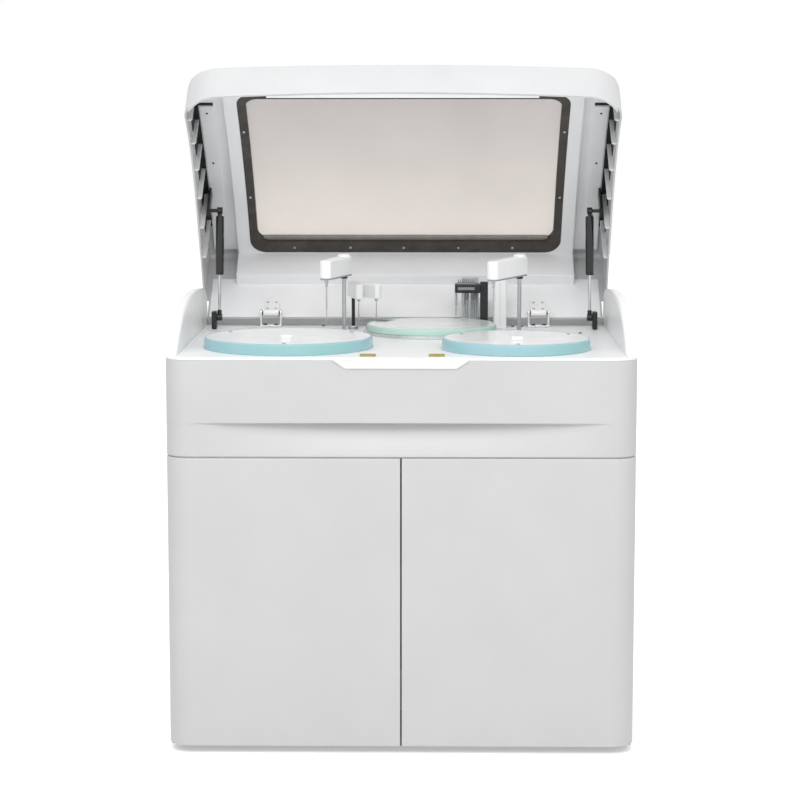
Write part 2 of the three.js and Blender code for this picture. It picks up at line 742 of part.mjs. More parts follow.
// A rounded arm from its column to its tip, seen from above.
function armPlan(x, y, tipX, tipY, hub, tip) {
  const turn = THREE.MathUtils.radToDeg(Math.atan2(tipY - y, tipX - x));
  return [
    ...circle(x, y, hub, turn + 90, turn + 270, 12),
    ...circle(tipX, tipY, tip, turn - 60, turn + 60, 6),
  ];
}
function probe(name, x, y, [tipX, tipY]) {
  const top = armBottom + armHeight;
  const column = cylinder(columnRadius, x, y, columnFoot, armBottom + sheet, 16);
  const arm = extrudeUp(armPlan(x, y, tipX, tipY, hubRadius, armHalf), armBottom, top);
  const dome = turned([[0, top - sheet], [hubRadius - sheet, top - sheet], [hubRadius - sheet, top],
    [hubRadius / 2, top + domeHeight], [0, top + domeHeight]], x, y, 24);
  add(`${name}_probe_arm`, join(column, arm, dome), whitePlastic);
  add(`${name}_probe_needle`, turned([
    [0, needleTip], [needleRadius / 2, needleTip], [needleRadius, needleTip + needleNut],
    [needleRadius, armBottom - contact - needleNut], [needleNut, armBottom - contact - needleNut],
    [needleNut, armBottom - contact], [0, armBottom - contact],
  ], tipX, tipY, 12), steel);
}
probe("sample", sampleColumnX, columnY, sampleNeedle);
probe("reagent", reagentColumnX, columnY, reagentNeedle);

// Mixer: two lobes on one column, a paddle under each
const mixerTop = mixerBottom + mixerHeight;
let mixer = cylinder(mixerColumn, mixerX, mixerY, columnFoot, mixerBottom + sheet, 16);
for (const [x, y] of paddles) {
  mixer = join(mixer,
    extrudeUp(armPlan(mixerX, mixerY, x, y, mixerHalf + sheet, mixerHalf), mixerBottom, mixerTop),
    cylinder(paddleRadius, x, y, paddleTip, mixerBottom + sheet, 10),
    cylinder(needleNut, x, y, mixerBottom - needleNut, mixerBottom + sheet, 10));
}
add("mixer_arm", mixer, whitePlastic);
const onDeck = deckHeight + contact;
const wellFloor = deckHeight - wellDepth;
add("mixer_wash_well", turned([
  [paddleRadius * 2, wellFloor], [wellHole, wellFloor], [wellHole, onDeck], [wellRim, onDeck],
  [wellRim, onDeck + sheet], [wellHole - sheet, onDeck + sheet], [wellHole - sheet, wellFloor + sheet],
  [paddleRadius * 2, wellFloor + sheet], [paddleRadius * 2, wellFloor],
], wellX, wellY, 24), greyPlastic);

// Wash station: a head with nozzles that slides down on its square column, and the tubes behind it
const columnTop = deckHeight + washColumnHeight;
add("wash_column", block(washColumnX - washColumnHalf, washColumnX + washColumnHalf,
  washColumnY - washColumnHalf, washColumnY + washColumnHalf, onDeck, columnTop), blackMetal);
const headRight = washColumnX - washColumnHalf - contact;
let washHead = block(headRight - washHeadHalf * 2, headRight, washHeadFront, washHeadFront + washHeadDepth,
  washHeadBottom, washHeadBottom + washHeadHeight);
for (const [x, y] of nozzles) {
  washHead = washHead.add(cylinder(nozzleRadius, x, y, nozzleTip, washHeadBottom + sheet, 10));
}
add("wash_head", washHead, blackMetal);

let manifold = block(manifoldX - manifoldHalf, manifoldX + manifoldHalf, manifoldFront,
  manifoldFront + manifoldDepth, onDeck, deckHeight + manifoldHeight);
for (let i = 1; i < 8; i++) {
  const x = manifoldX - manifoldHalf + (i * manifoldHalf) / 4;
  manifold = manifold.subtract(block(x - manifoldRib / 2, x + manifoldRib / 2, manifoldFront - overrun,
    manifoldFront + manifoldRib, onDeck + manifoldRib, deckHeight + manifoldHeight + overrun));
}
add("tube_manifold", manifold, zinc);
add("tube_cover", extrudeUp(roundedBox(tubeBoxX - tubeBoxHalf, tubeBoxX + tubeBoxHalf, tubeBoxY - tubeBoxHalf,
  tubeBoxY + tubeBoxHalf, tubeBoxHalf / 3, 3), onDeck, deckHeight + tubeBoxHeight), whitePlastic);

// Lid, drawn closed: everything in this group then swings about the hinge pins.
const lid = new THREE.Group();
const openTurn = THREE.MathUtils.degToRad(lidOpenAngle);
const swing = new THREE.Matrix4()
  .makeTranslation(0, hingeY, hingeZ)
  .multiply(new THREE.Matrix4().makeRotationX(-openTurn))
  .multiply(new THREE.Matrix4().makeTranslation(0, -hingeY, -hingeZ));
lid.applyMatrix4(swing);
analyzer.add(lid);

// Height of the lid's crowned top at a distance back from the front
function lidTop(y) {
  const t = (y - lidFront) / (lidBack - lidFront);
  return lidFrontHeight + (lidBackHeight - lidFrontHeight) * t + lidCrown * 4 * t * (1 - t);
}
// A full-width solid under the crowned top, moved in by `inset` on every side.
function lidForm(inset, bottom) {
  const width = lidHalf - inset;
  const corner = lidCorner - inset;
  const edge = lidEdge - inset;
  const places = [...lidEdgeShares.map((s) => width - edge * s),
    ...lidCornerShares.map((s) => width - corner * s), ...lidFlatShares.map((s) => (width - corner) * s)];
  places.sort((a, b) => b - a);
  const xs = [...places.map((x) => -x), 0, ...places.reverse()];
  return loft(xs.map((x) => {
    const fromCorner = Math.max(0, Math.abs(x) - (width - corner));
    const fromEdge = Math.max(0, Math.abs(x) - (width - edge));
    const front = lidFront + inset + lidBow * (x / lidHalf) ** 2
      + corner - Math.sqrt(Math.max(0, corner ** 2 - fromCorner ** 2));
    const back = lidBack - inset;
    const drop = inset + edge - Math.sqrt(Math.max(0, edge ** 2 - fromEdge ** 2));
    const points = [[front, bottom], [back, bottom]];
    circle(back - edge, 0, edge, 0, 90, 3).forEach(([y, up]) => {
      points.push([y, lidTop(back - edge) - drop - edge + up]);
    });
    for (let i = 1; i < lidSteps; i++) {
      const y = back - edge + ((front + edge * 2 - back) * i) / lidSteps;
      points.push([y, lidTop(y) - drop]);
    }
    circle(front + edge, 0, edge, 90, 180, 3).forEach(([y, up]) => {
      points.push([y, lidTop(front + edge) - drop - edge + up]);
    });
    return points.map(([y, z]) => new THREE.Vector3(x, y, z));
  }));
}
// A band that follows the crowned top, between two depths below it.
function lidBand(x0, x1, y0, y1, depth0, depth1) {
  const line = Array.from({ length: lidSteps + 1 }, (_, i) => y0 + ((y1 - y0) * i) / lidSteps);
  return extrudeAcross([
    ...line.map((y) => [y, lidTop(y) - depth1]),
    ...line.reverse().map((y) => [y, lidTop(y) - depth0]),
  ], x0, x1);
}
const high = lidBackHeight + lidCrown + overrun;
const windowHole = (margin) => extrudeUp(
  roundedBox(margin - windowHalf, windowHalf - margin, windowFront + margin, windowBack - margin,
    windowCorner - margin / 2), lidBottom, high);

let shell = lidForm(0, lidBottom).subtract(lidForm(lidWall, lidBottom - overrun));
for (const [, side] of sides) {
  const [x0, x1] = span(side, innerHalf - lidSideGap, half + overrun);
  const under = [[-overrun, panelTop], [-overrun, lidBottom], [cheekStart, lidBottom],
    ...archLine(lidSideGap, lidBackGap), [hingeY + cheekHeel + lidBackGap, panelTop]];
  shell = shell.subtract(extrudeAcross(under, x0, x1));
  const [r0, r1] = span(side, lidHalf - lidWall - ribDepth, lidHalf - lidWall / 2);
  for (let i = 0; i < ribCount; i++) {
    const y = channelFront + ((channelBack - channelFront) * i) / (ribCount - 1);
    shell = shell.add(block(r0, r1, y, y + ribThickness, deckHeight + arch(y + ribThickness) + lidSideGap * 2,
      lidTop(y) - lidWall / 2));
  }
}
shell = shell.subtract(
  block(-half, half, hingeY - cheekHeel, lidBack + overrun, lidBottom - overrun, lidHeel));
shell = shell.subtract(windowHole(windowBar / 2));
// Clearance in the lid's back for the hinge ears, which it passes as it opens
const hingeNotches = join(...sides.map(([, side]) => block(side * hingeX - hingeHalf - seam,
  side * hingeX + hingeHalf + seam, hingeY, lidBack + overrun, lidBottom, hingeZ + hingeNotch)));
shell = shell.subtract(hingeNotches);
add("lid_shell", shell, whitePlastic, lid);

const paneTop = lidWall + contact + contact;
const paneHole = extrudeUp(roundedBox(-paneHalf, paneHalf, windowFront - contact, windowBack + contact,
  windowCorner), lidBottom, high);
const paneBand = lidBand(-paneHalf, paneHalf, linerFront, lidBack - lidCorner / 2,
  paneTop, paneTop + paneThickness);
add("lid_window", paneBand.intersect(paneHole), clearPane, lid);

const gasketTop = paneTop + paneThickness + contact;
const paneView = extrudeUp(roundedBox(windowBar - windowHalf, windowHalf - windowBar, windowFront + windowBar,
  windowBack - windowFoot, windowCorner - windowBar / 2), lidBottom, high);
const gasket = lidBand(-windowHalf, windowHalf, linerFront, lidBack - lidCorner / 2, gasketTop,
  gasketTop + gasketDepth).intersect(windowHole(0)).subtract(paneView);
add("lid_gasket", gasket, darkRubber, lid);

// Liner: a tray whose raised middle frames the window, with a gutter, channel and strut stud at each side.
const linerTop = linerDepth - linerSheet;
const linerBack = lidBack - lidWall - contact;
let liner = lidBand(-linerHalf, linerHalf, linerFront, linerBack - linerShelfDepth, linerTop, linerDepth)
  .subtract(windowHole(-contact));
const shelfFront = linerBack - linerShelfDepth;
liner = join(liner,
  block(-linerHalf, linerHalf, shelfFront - sheet, linerBack, linerShelf, lidTop(shelfFront) - linerTop),
  block(contact - innerHalf + lidSideGap * 2, innerHalf - lidSideGap * 2 - contact, linerBack - linerSheet,
    linerBack, lidHeel, linerShelf + overrun),
  lidBand(-linerHalf, linerHalf, linerFront, linerFront + linerSheet, gutterDepth, linerDepth));
for (const [, side] of sides) {
  const [w0, w1] = span(side, linerHalf - linerSheet, linerHalf);
  const [g0, g1] = span(side, linerHalf - linerSheet, gutterHalf - lidSideGap);
  const [c0, c1] = span(side, channelInner, channelOuter);
  const [s0, s1] = span(side, strutX + strutHalf + contact, channelOuter);
  const [b0, b1] = span(side, channelOuter - strutHalf, channelOuter);
  liner = join(liner,
    lidBand(w0, w1, linerFront, shelfFront, gutterDepth, linerDepth),
    lidBand(g0, g1, linerFront, shelfFront, gutterDepth, gutterDepth + linerSheet),
    lidBand(c0, c1, channelFront, channelBack, gutterDepth, gutterDepth + linerSheet * 2),
    block(b0, b1, ballY - bracketHalf, ballY + bracketHalf, ballZ - strutEye,
      lidTop(ballY) - gutterDepth - sheet),
    crossPin(strutPin, s0, s1, ballY, ballZ));
}
add("lid_liner", liner.subtract(hingeNotches), linerPlastic, lid);

// The grip strip follows the bowed inside of the lid's front wall.
const stripPlan = Array.from({ length: 9 }, (_, i) => ((i - 4) / 4) * stripHalf)
  .map((x) => [x, lidFront + lidWall + contact + contact + lidBow * (x / lidHalf) ** 2]);
stripPlan.push([stripHalf, stripBack], [-stripHalf, stripBack]);
add("lid_grip_strip", extrudeUp(stripPlan, lidBottom, lidBottom + stripThickness), greyPlastic, lid);

// Hinges: ears and a pin on the deck, and a leaf with a knuckle on the lid
for (const [sideName, side] of sides) {
  const x = side * hingeX;
  const earTop = hingeZ + knuckle;
  let bracket = join(
    block(x - hingeHalf, x + hingeHalf, hingeY - knuckle * 2, hingeY + knuckle, onDeck, onDeck + hingePlate),
    crossPin(hingePin, x - hingeHalf, x + hingeHalf, hingeY, hingeZ));
  for (const end of [x - hingeHalf, x + hingeHalf - hingePlate]) {
    bracket = bracket.add(block(end, end + hingePlate, hingeY - knuckle, hingeY + knuckle, onDeck, earTop));
  }
  add(`${sideName}_hinge_bracket`, bracket, zinc);

  const leafBack = linerBack - linerSheet - contact;
  const leaf = join(
    crossPin(knuckle, x - knuckleHalf, x + knuckleHalf, hingeY, hingeZ, 20),
    block(x - knuckleHalf, x + knuckleHalf, leafBack - hingePlate, leafBack, hingeZ, hingeZ + leafHeight),
    block(x - knuckleHalf, x + knuckleHalf, hingeY, leafBack, hingeZ, hingeZ + hingePlate),
  ).subtract(crossPin(hingePin + runningGap, x - hingeHalf, x + hingeHalf, hingeY, hingeZ));
  add(`${sideName}_hinge_leaf`, leaf, zinc, lid);
}

// Gas struts, drawn upright on their lower pin and then leant to the open lid's stud
const ball = new THREE.Vector3(0, ballY, ballZ).applyMatrix4(swing);
const strutLength = Math.hypot(ball.y - footY, ball.z - footZ);
const strutLean = Math.atan2(ball.y - footY, ball.z - footZ);
for (const [sideName, side] of sides) {
  const x = side * strutX;
  const inside = [x - strutHalf, x + strutHalf];
  const [b0, b1] = span(side, strutX + strutHalf + contact, strutX + strutHalf + contact + bracketThickness);
  const [p0, p1] = span(side, strutX - strutHalf, strutX + strutHalf + contact + bracketThickness / 2);
  add(`${sideName}_strut_bracket`, join(
    block(b0, b1, footY - bracketHalf, footY + bracketHalf, onDeck, footZ + bracketHalf),
    crossPin(strutPin, p0, p1, footY, footZ)), blackMetal);

  const strut = new THREE.Group();
  strut.position.set(x, footY, footZ);
  strut.rotation.x = -strutLean;
  analyzer.add(strut);
  const eyeHole = crossPin(strutPin + runningGap, -strutHalf - overrun, strutHalf + overrun, 0, 0);
  const rod = join(crossPin(strutEye, inside[0] - x, inside[1] - x, 0, 0, 20),
    cylinder(strutRod, 0, 0, strutEye / 2, strutRodLength, 12)).subtract(eyeHole);
  add(`${sideName}_strut_rod`, rod, steel, strut);

  const tubeTop = strutLength - strutEye / 2;
  const tubeFoot = tubeTop - strutTubeLength;
  const tube = join(cylinder(strutTube, 0, 0, tubeFoot, tubeTop - strutEye, 16),
    cylinder(strutEye / 2, 0, 0, tubeTop - strutEye * 2, strutLength, 12),
    crossPin(strutEye, -strutHalf, strutHalf, 0, strutLength, 20))
    .subtract(cylinder(strutRod + runningGap, 0, 0, tubeFoot - overrun, tubeTop - strutEye * 2, 12));
  add(`${sideName}_strut_cylinder`, tube, blackMetal, strut);
}

// Behind the doors: the power supply and the water tank stand on the base frame's rails
const trayTop = frameTop + contact;
add("power_supply", block(frameHalf - supplyWidth, frameHalf - contact, frameBack - supplyDepth,
  frameBack - railHeight / 2, trayTop, trayTop + supplyHeight), zinc);
const tankX = tankWidth / 2 - frameHalf + contact;
const tankY = frameBack - tankDepth / 2 - contact;
add("water_tank", join(
  extrudeUp(roundedBox(tankX - tankWidth / 2, tankX + tankWidth / 2, tankY - tankDepth / 2,
    tankY + tankDepth / 2, tankNeck), trayTop, trayTop + tankHeight),
  cylinder(tankNeck, tankX, tankY, trayTop + tankHeight - sheet, trayTop + tankHeight + tankCap)),
whitePlastic);

// The origin is on the floor, under the middle of the machine as it stands with its lid open.
const reach = new THREE.Box3().setFromObject(analyzer, true);
analyzer.position.set(-(reach.min.x + reach.max.x) / 2, -(reach.min.y + reach.max.y) / 2, -reach.min.z);

export default analyzer;
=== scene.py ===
from math import atan2, cos, pi, radians, sin, sqrt
import bmesh
import bpy
from mathutils import Matrix, Vector


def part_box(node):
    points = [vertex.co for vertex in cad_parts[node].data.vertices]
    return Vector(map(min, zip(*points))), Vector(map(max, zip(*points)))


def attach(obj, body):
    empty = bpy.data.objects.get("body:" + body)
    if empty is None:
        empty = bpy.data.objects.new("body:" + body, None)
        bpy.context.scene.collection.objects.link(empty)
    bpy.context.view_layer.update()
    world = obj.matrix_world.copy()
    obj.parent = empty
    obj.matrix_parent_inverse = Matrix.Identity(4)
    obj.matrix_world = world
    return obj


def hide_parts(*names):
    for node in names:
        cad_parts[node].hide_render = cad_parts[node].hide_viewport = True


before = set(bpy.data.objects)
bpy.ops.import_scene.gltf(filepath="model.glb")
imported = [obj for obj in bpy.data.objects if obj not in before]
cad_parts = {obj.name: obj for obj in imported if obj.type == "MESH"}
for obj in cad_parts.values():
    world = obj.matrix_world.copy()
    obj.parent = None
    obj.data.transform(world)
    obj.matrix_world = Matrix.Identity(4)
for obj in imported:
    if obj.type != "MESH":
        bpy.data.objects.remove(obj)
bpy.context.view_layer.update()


# Levelling feet: a moulded rubber pad on a short zinc stud with a lock nut, screwed up
# into the base frame at its four corners.
def at_work(mode, piece=None):
    """Deselects all and goes to the mode, with the piece selected."""
    if bpy.context.object and bpy.context.object.mode != "OBJECT":
        bpy.ops.object.mode_set(mode="OBJECT")
    bpy.ops.object.select_all(action="DESELECT")
    if piece:
        piece.select_set(True)
        bpy.context.view_layer.objects.active = piece
    if mode == "EDIT":
        bpy.ops.object.mode_set(mode="EDIT")


def rounded_edges(piece, width, segments=2, angle=30):
    """Rounds every edge sharper than the angle."""
    at_work("OBJECT", piece)
    bevel = piece.modifiers.new("rounding", "BEVEL")
    bevel.width = width
    bevel.segments = segments
    bevel.limit_method = "ANGLE"
    bevel.angle_limit = radians(angle)
    bevel.use_clamp_overlap = True
    bpy.ops.object.modifier_apply(modifier=bevel.name)
    return piece


def smoothed(piece, angle=35):
    at_work("OBJECT", piece)
    bpy.ops.object.shade_smooth_by_angle(angle=radians(angle))
    return piece


def ring_of(name, points):
    """A flat closed wire through the points, from a circle primitive."""
    at_work("OBJECT")
    bpy.ops.mesh.primitive_circle_add(vertices=len(points), radius=1, fill_type="NOTHING")
    wire = bpy.context.object
    wire.name = wire.data.name = name
    for vertex, point in zip(wire.data.vertices, points):
        vertex.co = point
    return wire


def turned(name, profile, x, y, steps=48, angle=35):
    """Spins a (radius, height) profile about the upright axis at x, y."""
    wire = ring_of(name, [(x + r, y, z) for r, z in profile])
    at_work("EDIT", wire)
    shape = bmesh.from_edit_mesh(wire.data)
    on_axis = [e for e in shape.edges if all(abs(v.co.x - x) < 1e-7 for v in e.verts)]
    bmesh.ops.delete(shape, geom=on_axis, context="EDGES_FACES")
    bmesh.update_edit_mesh(wire.data)
    bpy.ops.mesh.select_all(action="SELECT")
    bpy.ops.mesh.spin(steps=steps, angle=2 * pi, center=(x, y, 0), axis=(0, 0, 1))
    bpy.ops.mesh.select_all(action="SELECT")
    bpy.ops.mesh.remove_doubles(threshold=2e-6)
    bpy.ops.mesh.normals_make_consistent(inside=False)
    return smoothed(wire, angle)


def swept(name, sections, angle=35):
    """Extrudes a filled outline from section to section, each a ring of points."""
    at_work("OBJECT")
    bpy.ops.mesh.primitive_circle_add(vertices=len(sections[0]), radius=1, fill_type="NGON")
    skin = bpy.context.object
    skin.name = skin.data.name = name
    at_work("EDIT", skin)
    shape = bmesh.from_edit_mesh(skin.data)
    shape.verts.ensure_lookup_table()
    ring = list(range(len(sections[0])))
    for n, point in zip(ring, sections[0]):
        shape.verts[n].co = point
    for section in sections[1:]:
        bpy.ops.mesh.extrude_region_move()
        shape = bmesh.from_edit_mesh(skin.data)
        shape.verts.ensure_lookup_table()
        after = []
        for n in ring:
            new = next(e.other_vert(shape.verts[n])
                for e in shape.verts[n].link_edges if e.other_vert(shape.verts[n]).select)
            after.append(new.index)
        for n, point in zip(after, section):
            shape.verts[n].co = point
        ring = after
    bmesh.update_edit_mesh(skin.data)
    bpy.ops.mesh.select_all(action="SELECT")
    bpy.ops.mesh.remove_doubles(threshold=1e-6)
    bpy.ops.mesh.normals_make_consistent(inside=False)
    return smoothed(skin, angle)


def block(name, lo, hi, soft=0.001, segments=2):
    """A cube primitive at its size and place, with its edges rounded."""
    at_work("OBJECT")
    lo, hi = Vector(lo), Vector(hi)
    bpy.ops.mesh.primitive_cube_add(size=1, location=(lo + hi) / 2, scale=hi - lo)
    cube = bpy.context.object
    cube.name = cube.data.name = name
    bpy.ops.object.transform_apply(location=True, rotation=True, scale=True)
    at_work("EDIT", cube)
    bpy.ops.mesh.select_all(action="SELECT")
    bpy.ops.mesh.bevel(offset=soft, segments=segments, affect="EDGES")
    return smoothed(cube)


def side_block(name, sign, near, far, soft=0.001, segments=2):
    """A block on the left (-1) or the right (1), with its corners given for the right."""
    (x0, y0, z0), (x1, y1, z1) = near, far
    x0, x1 = sorted((sign * x0, sign * x1))
    return block(name, (x0, y0, z0), (x1, y1, z1), soft, segments)


def rod(name, radius, a, b, steps=24, soft=0.0005, radius_b=None):
    """A round bar from a to b with broken end edges."""
    a, b = Vector(a), Vector(b)
    length = (b - a).length
    end = radius if radius_b is None else radius_b
    bar = turned(name, [(0, 0), (radius - soft, 0), (radius, soft), (end, length - soft),
        (end - soft, length), (0, length)], 0, 0, steps)
    aim = Vector((0, 0, 1)).rotation_difference((b - a).normalized()).to_matrix().to_4x4()
    bar.data.transform(Matrix.Translation(a) @ aim)
    return bar


def joined(name, *parts):
    at_work("OBJECT", parts[0])
    for part in parts[1:]:
        part.select_set(True)
    bpy.ops.object.join()
    parts[0].name = parts[0].data.name = name
    return parts[0]


def copied(name, piece, matrix):
    """A copy with its own mesh, moved by the matrix."""
    twin = piece.copy()
    twin.data = piece.data.copy()
    bpy.context.collection.objects.link(twin)
    twin.data.transform(matrix)
    if matrix.determinant() < 0:
        twin.data.flip_normals()
    twin.name = twin.data.name = name
    return twin


def middle(lo, hi):
    """The centre of a box, from above."""
    return (lo.x + hi.x) / 2, (lo.y + hi.y) / 2


def linear(red, green, blue):
    """A shade picked on a 0 to 255 scale, as the shader wants it."""
    def one(v):
        v /= 255
        return v / 12.92 if v <= 0.04045 else ((v + 0.055) / 1.055) ** 2.4
    return (one(red), one(green), one(blue), 1)


def finish_of(name, dark, light, rough, spread=0.05, size=14, stretch=(1, 1, 1), metallic=0.0, grain=700,
        relief=0.05, depth=0.0002):
    """Shade that drifts between two tones, uneven gloss and a fine relief, all on Object coordinates."""
    finish = bpy.data.materials.new(name)
    finish.use_nodes = True
    tree = finish.node_tree
    shader = tree.nodes["Principled BSDF"]
    shader.inputs["Metallic"].default_value = metallic

    def node(kind, **values):
        made = tree.nodes.new(kind)
        for key, value in values.items():
            made.inputs[key.replace("_", " ")].default_value = value
        return made

    def wire(a, out, b, into):
        tree.links.new(a.outputs[out], b.inputs[into])
    place = node("ShaderNodeTexCoord")
    lay = node("ShaderNodeMapping", Scale=stretch)
    wire(place, "Object", lay, "Vector")
    drift = node("ShaderNodeTexNoise", Scale=size, Detail=4.0, Roughness=0.6)
    wire(lay, "Vector", drift, "Vector")
    tone = tree.nodes.new("ShaderNodeValToRGB")
    tone.color_ramp.elements[0].position = 0.3
    tone.color_ramp.elements[1].position = 0.7
    tone.color_ramp.elements[0].color = linear(*dark)
    tone.color_ramp.elements[1].color = linear(*light)
    wire(drift, "Fac", tone, "Fac")
    wire(tone, "Color", shader, "Base Color")
    fine = node("ShaderNodeTexNoise", Scale=grain, Detail=2.0, Roughness=0.5)
    wire(lay, "Vector", fine, "Vector")
    gloss = node("ShaderNodeMapRange", To_Min=rough - spread, To_Max=rough + spread)
    gloss.inputs["From Min"].default_value = 0.3
    gloss.inputs["From Max"].default_value = 0.7
    patch = node("ShaderNodeTexNoise", Scale=size * 2.5, Detail=5.0, Roughness=0.65)
    wire(lay, "Vector", patch, "Vector")
    wire(patch, "Fac", gloss, "Value")
    wire(gloss, "Result", shader, "Roughness")
    raised = node("ShaderNodeBump", Strength=relief, Distance=depth)
    wire(fine, "Fac", raised, "Height")
    wire(raised, "Normal", shader, "Normal")
    return finish


def socket(finish, name, value):
    finish.node_tree.nodes["Principled BSDF"].inputs[name].default_value = value


def fitted(piece, body, slot, finish, *nodes):
    """Evens a piece's normals, gives it its finish and puts it on its body for its CAD nodes."""
    at_work("OBJECT", piece)
    even = piece.modifiers.new("even_normals", "WEIGHTED_NORMAL")
    even.keep_sharp = True
    bpy.ops.object.modifier_apply(modifier=even.name)
    piece.data.materials.clear()
    piece.data.materials.append(finish)
    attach(piece, body)
    if nodes:
        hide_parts(*nodes)
    return piece


foot_rubber = finish_of("foot_rubber", (26, 26, 27), (40, 40, 41), 0.75, 0.08, 40, grain=1600, relief=0.3)
zinc_plate = finish_of("zinc_plate", (168, 170, 172), (190, 192, 193), 0.34, 0.07, 60, metallic=1.0,
    grain=900, relief=0.05)
for name in ("left_front_foot", "left_rear_foot", "right_front_foot", "right_rear_foot"):
    lo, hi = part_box(name)
    x, y = middle(lo, hi)
    pad = turned(name + "_pad", [(0, 0), (0.0205, 0), (0.0218, 0.0008), (0.022, 0.002), (0.022, 0.0042),
        (0.0212, 0.0052), (0.0150, 0.0068), (0.0118, 0.0082), (0.0105, 0.0086), (0, 0.0086)], x, y)
    fitted(pad, "cabinet", "foot_rubber", foot_rubber, name)
    nut = turned(name + "_nut", [(0, 0.0086), (0.0085, 0.0086), (0.0092, 0.0091), (0.0092, 0.0107),
        (0.0085, 0.0113), (0, 0.0113)], x, y, steps=6, angle=20)
    fitted(nut, "cabinet", "foot_rubber", zinc_plate)

# Base frame: rails of square steel tube, welded at the corners and powder coated black, with
# two front ears that carry the lower door pins.
powder_coat = finish_of("powder_coat", (24, 24, 26), (36, 36, 38), 0.5, 0.06, 30, grain=1100, relief=0.25)
lo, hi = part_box("base_frame")
rail, mitre_gap = 0.044, 0.002
rail_front, rail_top = lo.y + 0.049, lo.z + 0.049
ear_inner, ear_outer, ear_thick = 0.448, 0.485, 0.003
pivot_x, pivot_radius, pivot_reach = 0.478, 0.004, 0.030
rails = [block("front_rail", (lo.x, rail_front, lo.z), (hi.x, rail_front + rail, rail_top), 0.003, 3),
    block("rear_rail", (lo.x, hi.y - rail, lo.z), (hi.x, hi.y, rail_top), 0.003, 3)]
for sign in (-1, 1):
    rails.append(side_block("side_rail", sign, (hi.x - rail, rail_front + mitre_gap, lo.z),
        (hi.x, hi.y - mitre_gap, rail_top), 0.003, 3))
    rails.append(side_block("ear", sign, (ear_inner, lo.y, lo.z),
        (ear_outer, rail_front + 0.01, lo.z + ear_thick), 0.0008))
    rails.append(rod("lower_pin", pivot_radius, (sign * pivot_x, lo.y + 0.012, lo.z),
        (sign * pivot_x, lo.y + 0.012, lo.z + ear_thick + pivot_reach)))
fitted(smoothed(joined("welded_rails", *rails)), "cabinet", "black_metal", powder_coat, "base_frame")

# Side panels: 2.5 mm steel sheet, painted a satin light grey, hooked on the base frame and held
# along the rear edge by the rear panel.
cabinet_paint = finish_of("cabinet_paint", (196, 196, 197), (200, 200, 201), 0.42, 0.04, 6, grain=850,
    relief=0.06)
for side in ("left", "right"):
    lo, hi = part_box(side + "_side_panel")
    sheet = block(side + "_side_sheet", lo, hi, soft=0.0009)
    fitted(sheet, "cabinet", "cabinet_paint", cabinet_paint, side + "_side_panel")


# Rear panel: the same sheet, punched with two fields of louvre slots and a fan opening behind a
# wire guard, with a mains inlet low down and screws down both its edges.
def cut(piece, tool, way="DIFFERENCE"):
    """Takes the tool's shape out of the piece, or keeps only what lies inside it."""
    at_work("OBJECT", piece)
    bite = piece.modifiers.new("cut", "BOOLEAN")
    bite.operation = way
    bite.solver = "EXACT"
    bite.object = tool
    bpy.ops.object.modifier_apply(modifier=bite.name)
    bpy.data.objects.remove(tool)
    return piece


def through(name, radius, foot, top, x, y, steps=32):
    """A round cutter, upright, from foot to top."""
    return turned(name, [(0, foot), (radius, foot), (radius, top), (0, top)], x, y, steps)


def cap_screw(name, radii, heights, x=0, y=0, steps=24):
    """A screw head: rim, crown and socket radii; foot, shoulder, crown and socket heights."""
    (rim, crown, hole), (foot, shoulder, top, floor) = radii, heights
    return turned(name, [(0, foot), (rim, foot), (rim, shoulder), (crown, top), (hole, top), (hole, floor),
        (0, floor)], x, y, steps)


def corners(r):
    """Eight points round a fine wire's section."""
    return [(r * cos(a), r * sin(a)) for a in (2 * pi * i / 8 for i in range(8))]


lo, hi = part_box("rear_panel")
past = 0.01
satin_black = finish_of("satin_black", (18, 18, 20), (30, 30, 33), 0.34, 0.06, 30, grain=1200, relief=0.12)
back_sheet = block("rear_sheet", lo, hi, soft=0.0009)
slots = []
louvre_x, louvre_half, louvre_foot, louvre_pitch, louvre_gap = 0.27, 0.070, 0.560, 0.018, 0.0055
for x in (-louvre_x, louvre_x):
    for n in range(9):
        z = louvre_foot + louvre_pitch * n
        slots.append(block("slot", (x - louvre_half, lo.y - past, z),
            (x + louvre_half, hi.y + past, z + louvre_gap), 0.0024, 3))
slots.append(block("inlet", (-0.332, lo.y - past, 0.086), (-0.303, hi.y + past, 0.108), 0.002, 3))
fan_place = Matrix.Translation((0.27, hi.y, 0.250)) @ Matrix.Rotation(pi / 2, 4, "X")
fan_hole = through("fan_hole", 0.056, -0.02, 0.02, 0, 0, 64)
fan_hole.data.transform(fan_place)
slots.append(fan_hole)
wire, spoke, spoke_reach = 0.0008, 0.0009, 0.0570
guard = [turned("guard_ring", [(radius + dx, dz) for dx, dz in corners(wire)], 0, 0, 48)
    for radius in (0.012, 0.023, 0.034, 0.045, 0.0555)]
for n in range(4):
    dx, dy = spoke_reach * cos(n * pi / 4 + 0.4), spoke_reach * sin(n * pi / 4 + 0.4)
    guard.append(rod("guard_bar", spoke, (dx, dy, -0.0012), (-dx, -dy, -0.0012), 8, 0.0002))
guard = joined("fan_guard", *guard)
guard.data.transform(Matrix.Translation((0, -0.0012, 0)) @ fan_place)
fitted(guard, "cabinet", "cabinet_paint", satin_black)
housing = block("fan_housing", (-0.060, -0.060, 0.0030), (0.060, 0.060, 0.0230), 0.0030, 3)
cut(housing, through("duct", 0.0565, -0.01, 0.0215, 0, 0, 64))
hub = turned("hub", [(0, 0.0060), (0.0165, 0.0060), (0.0180, 0.0075), (0.0180, 0.0220), (0, 0.0220)], 0, 0,
    40)
blades = []
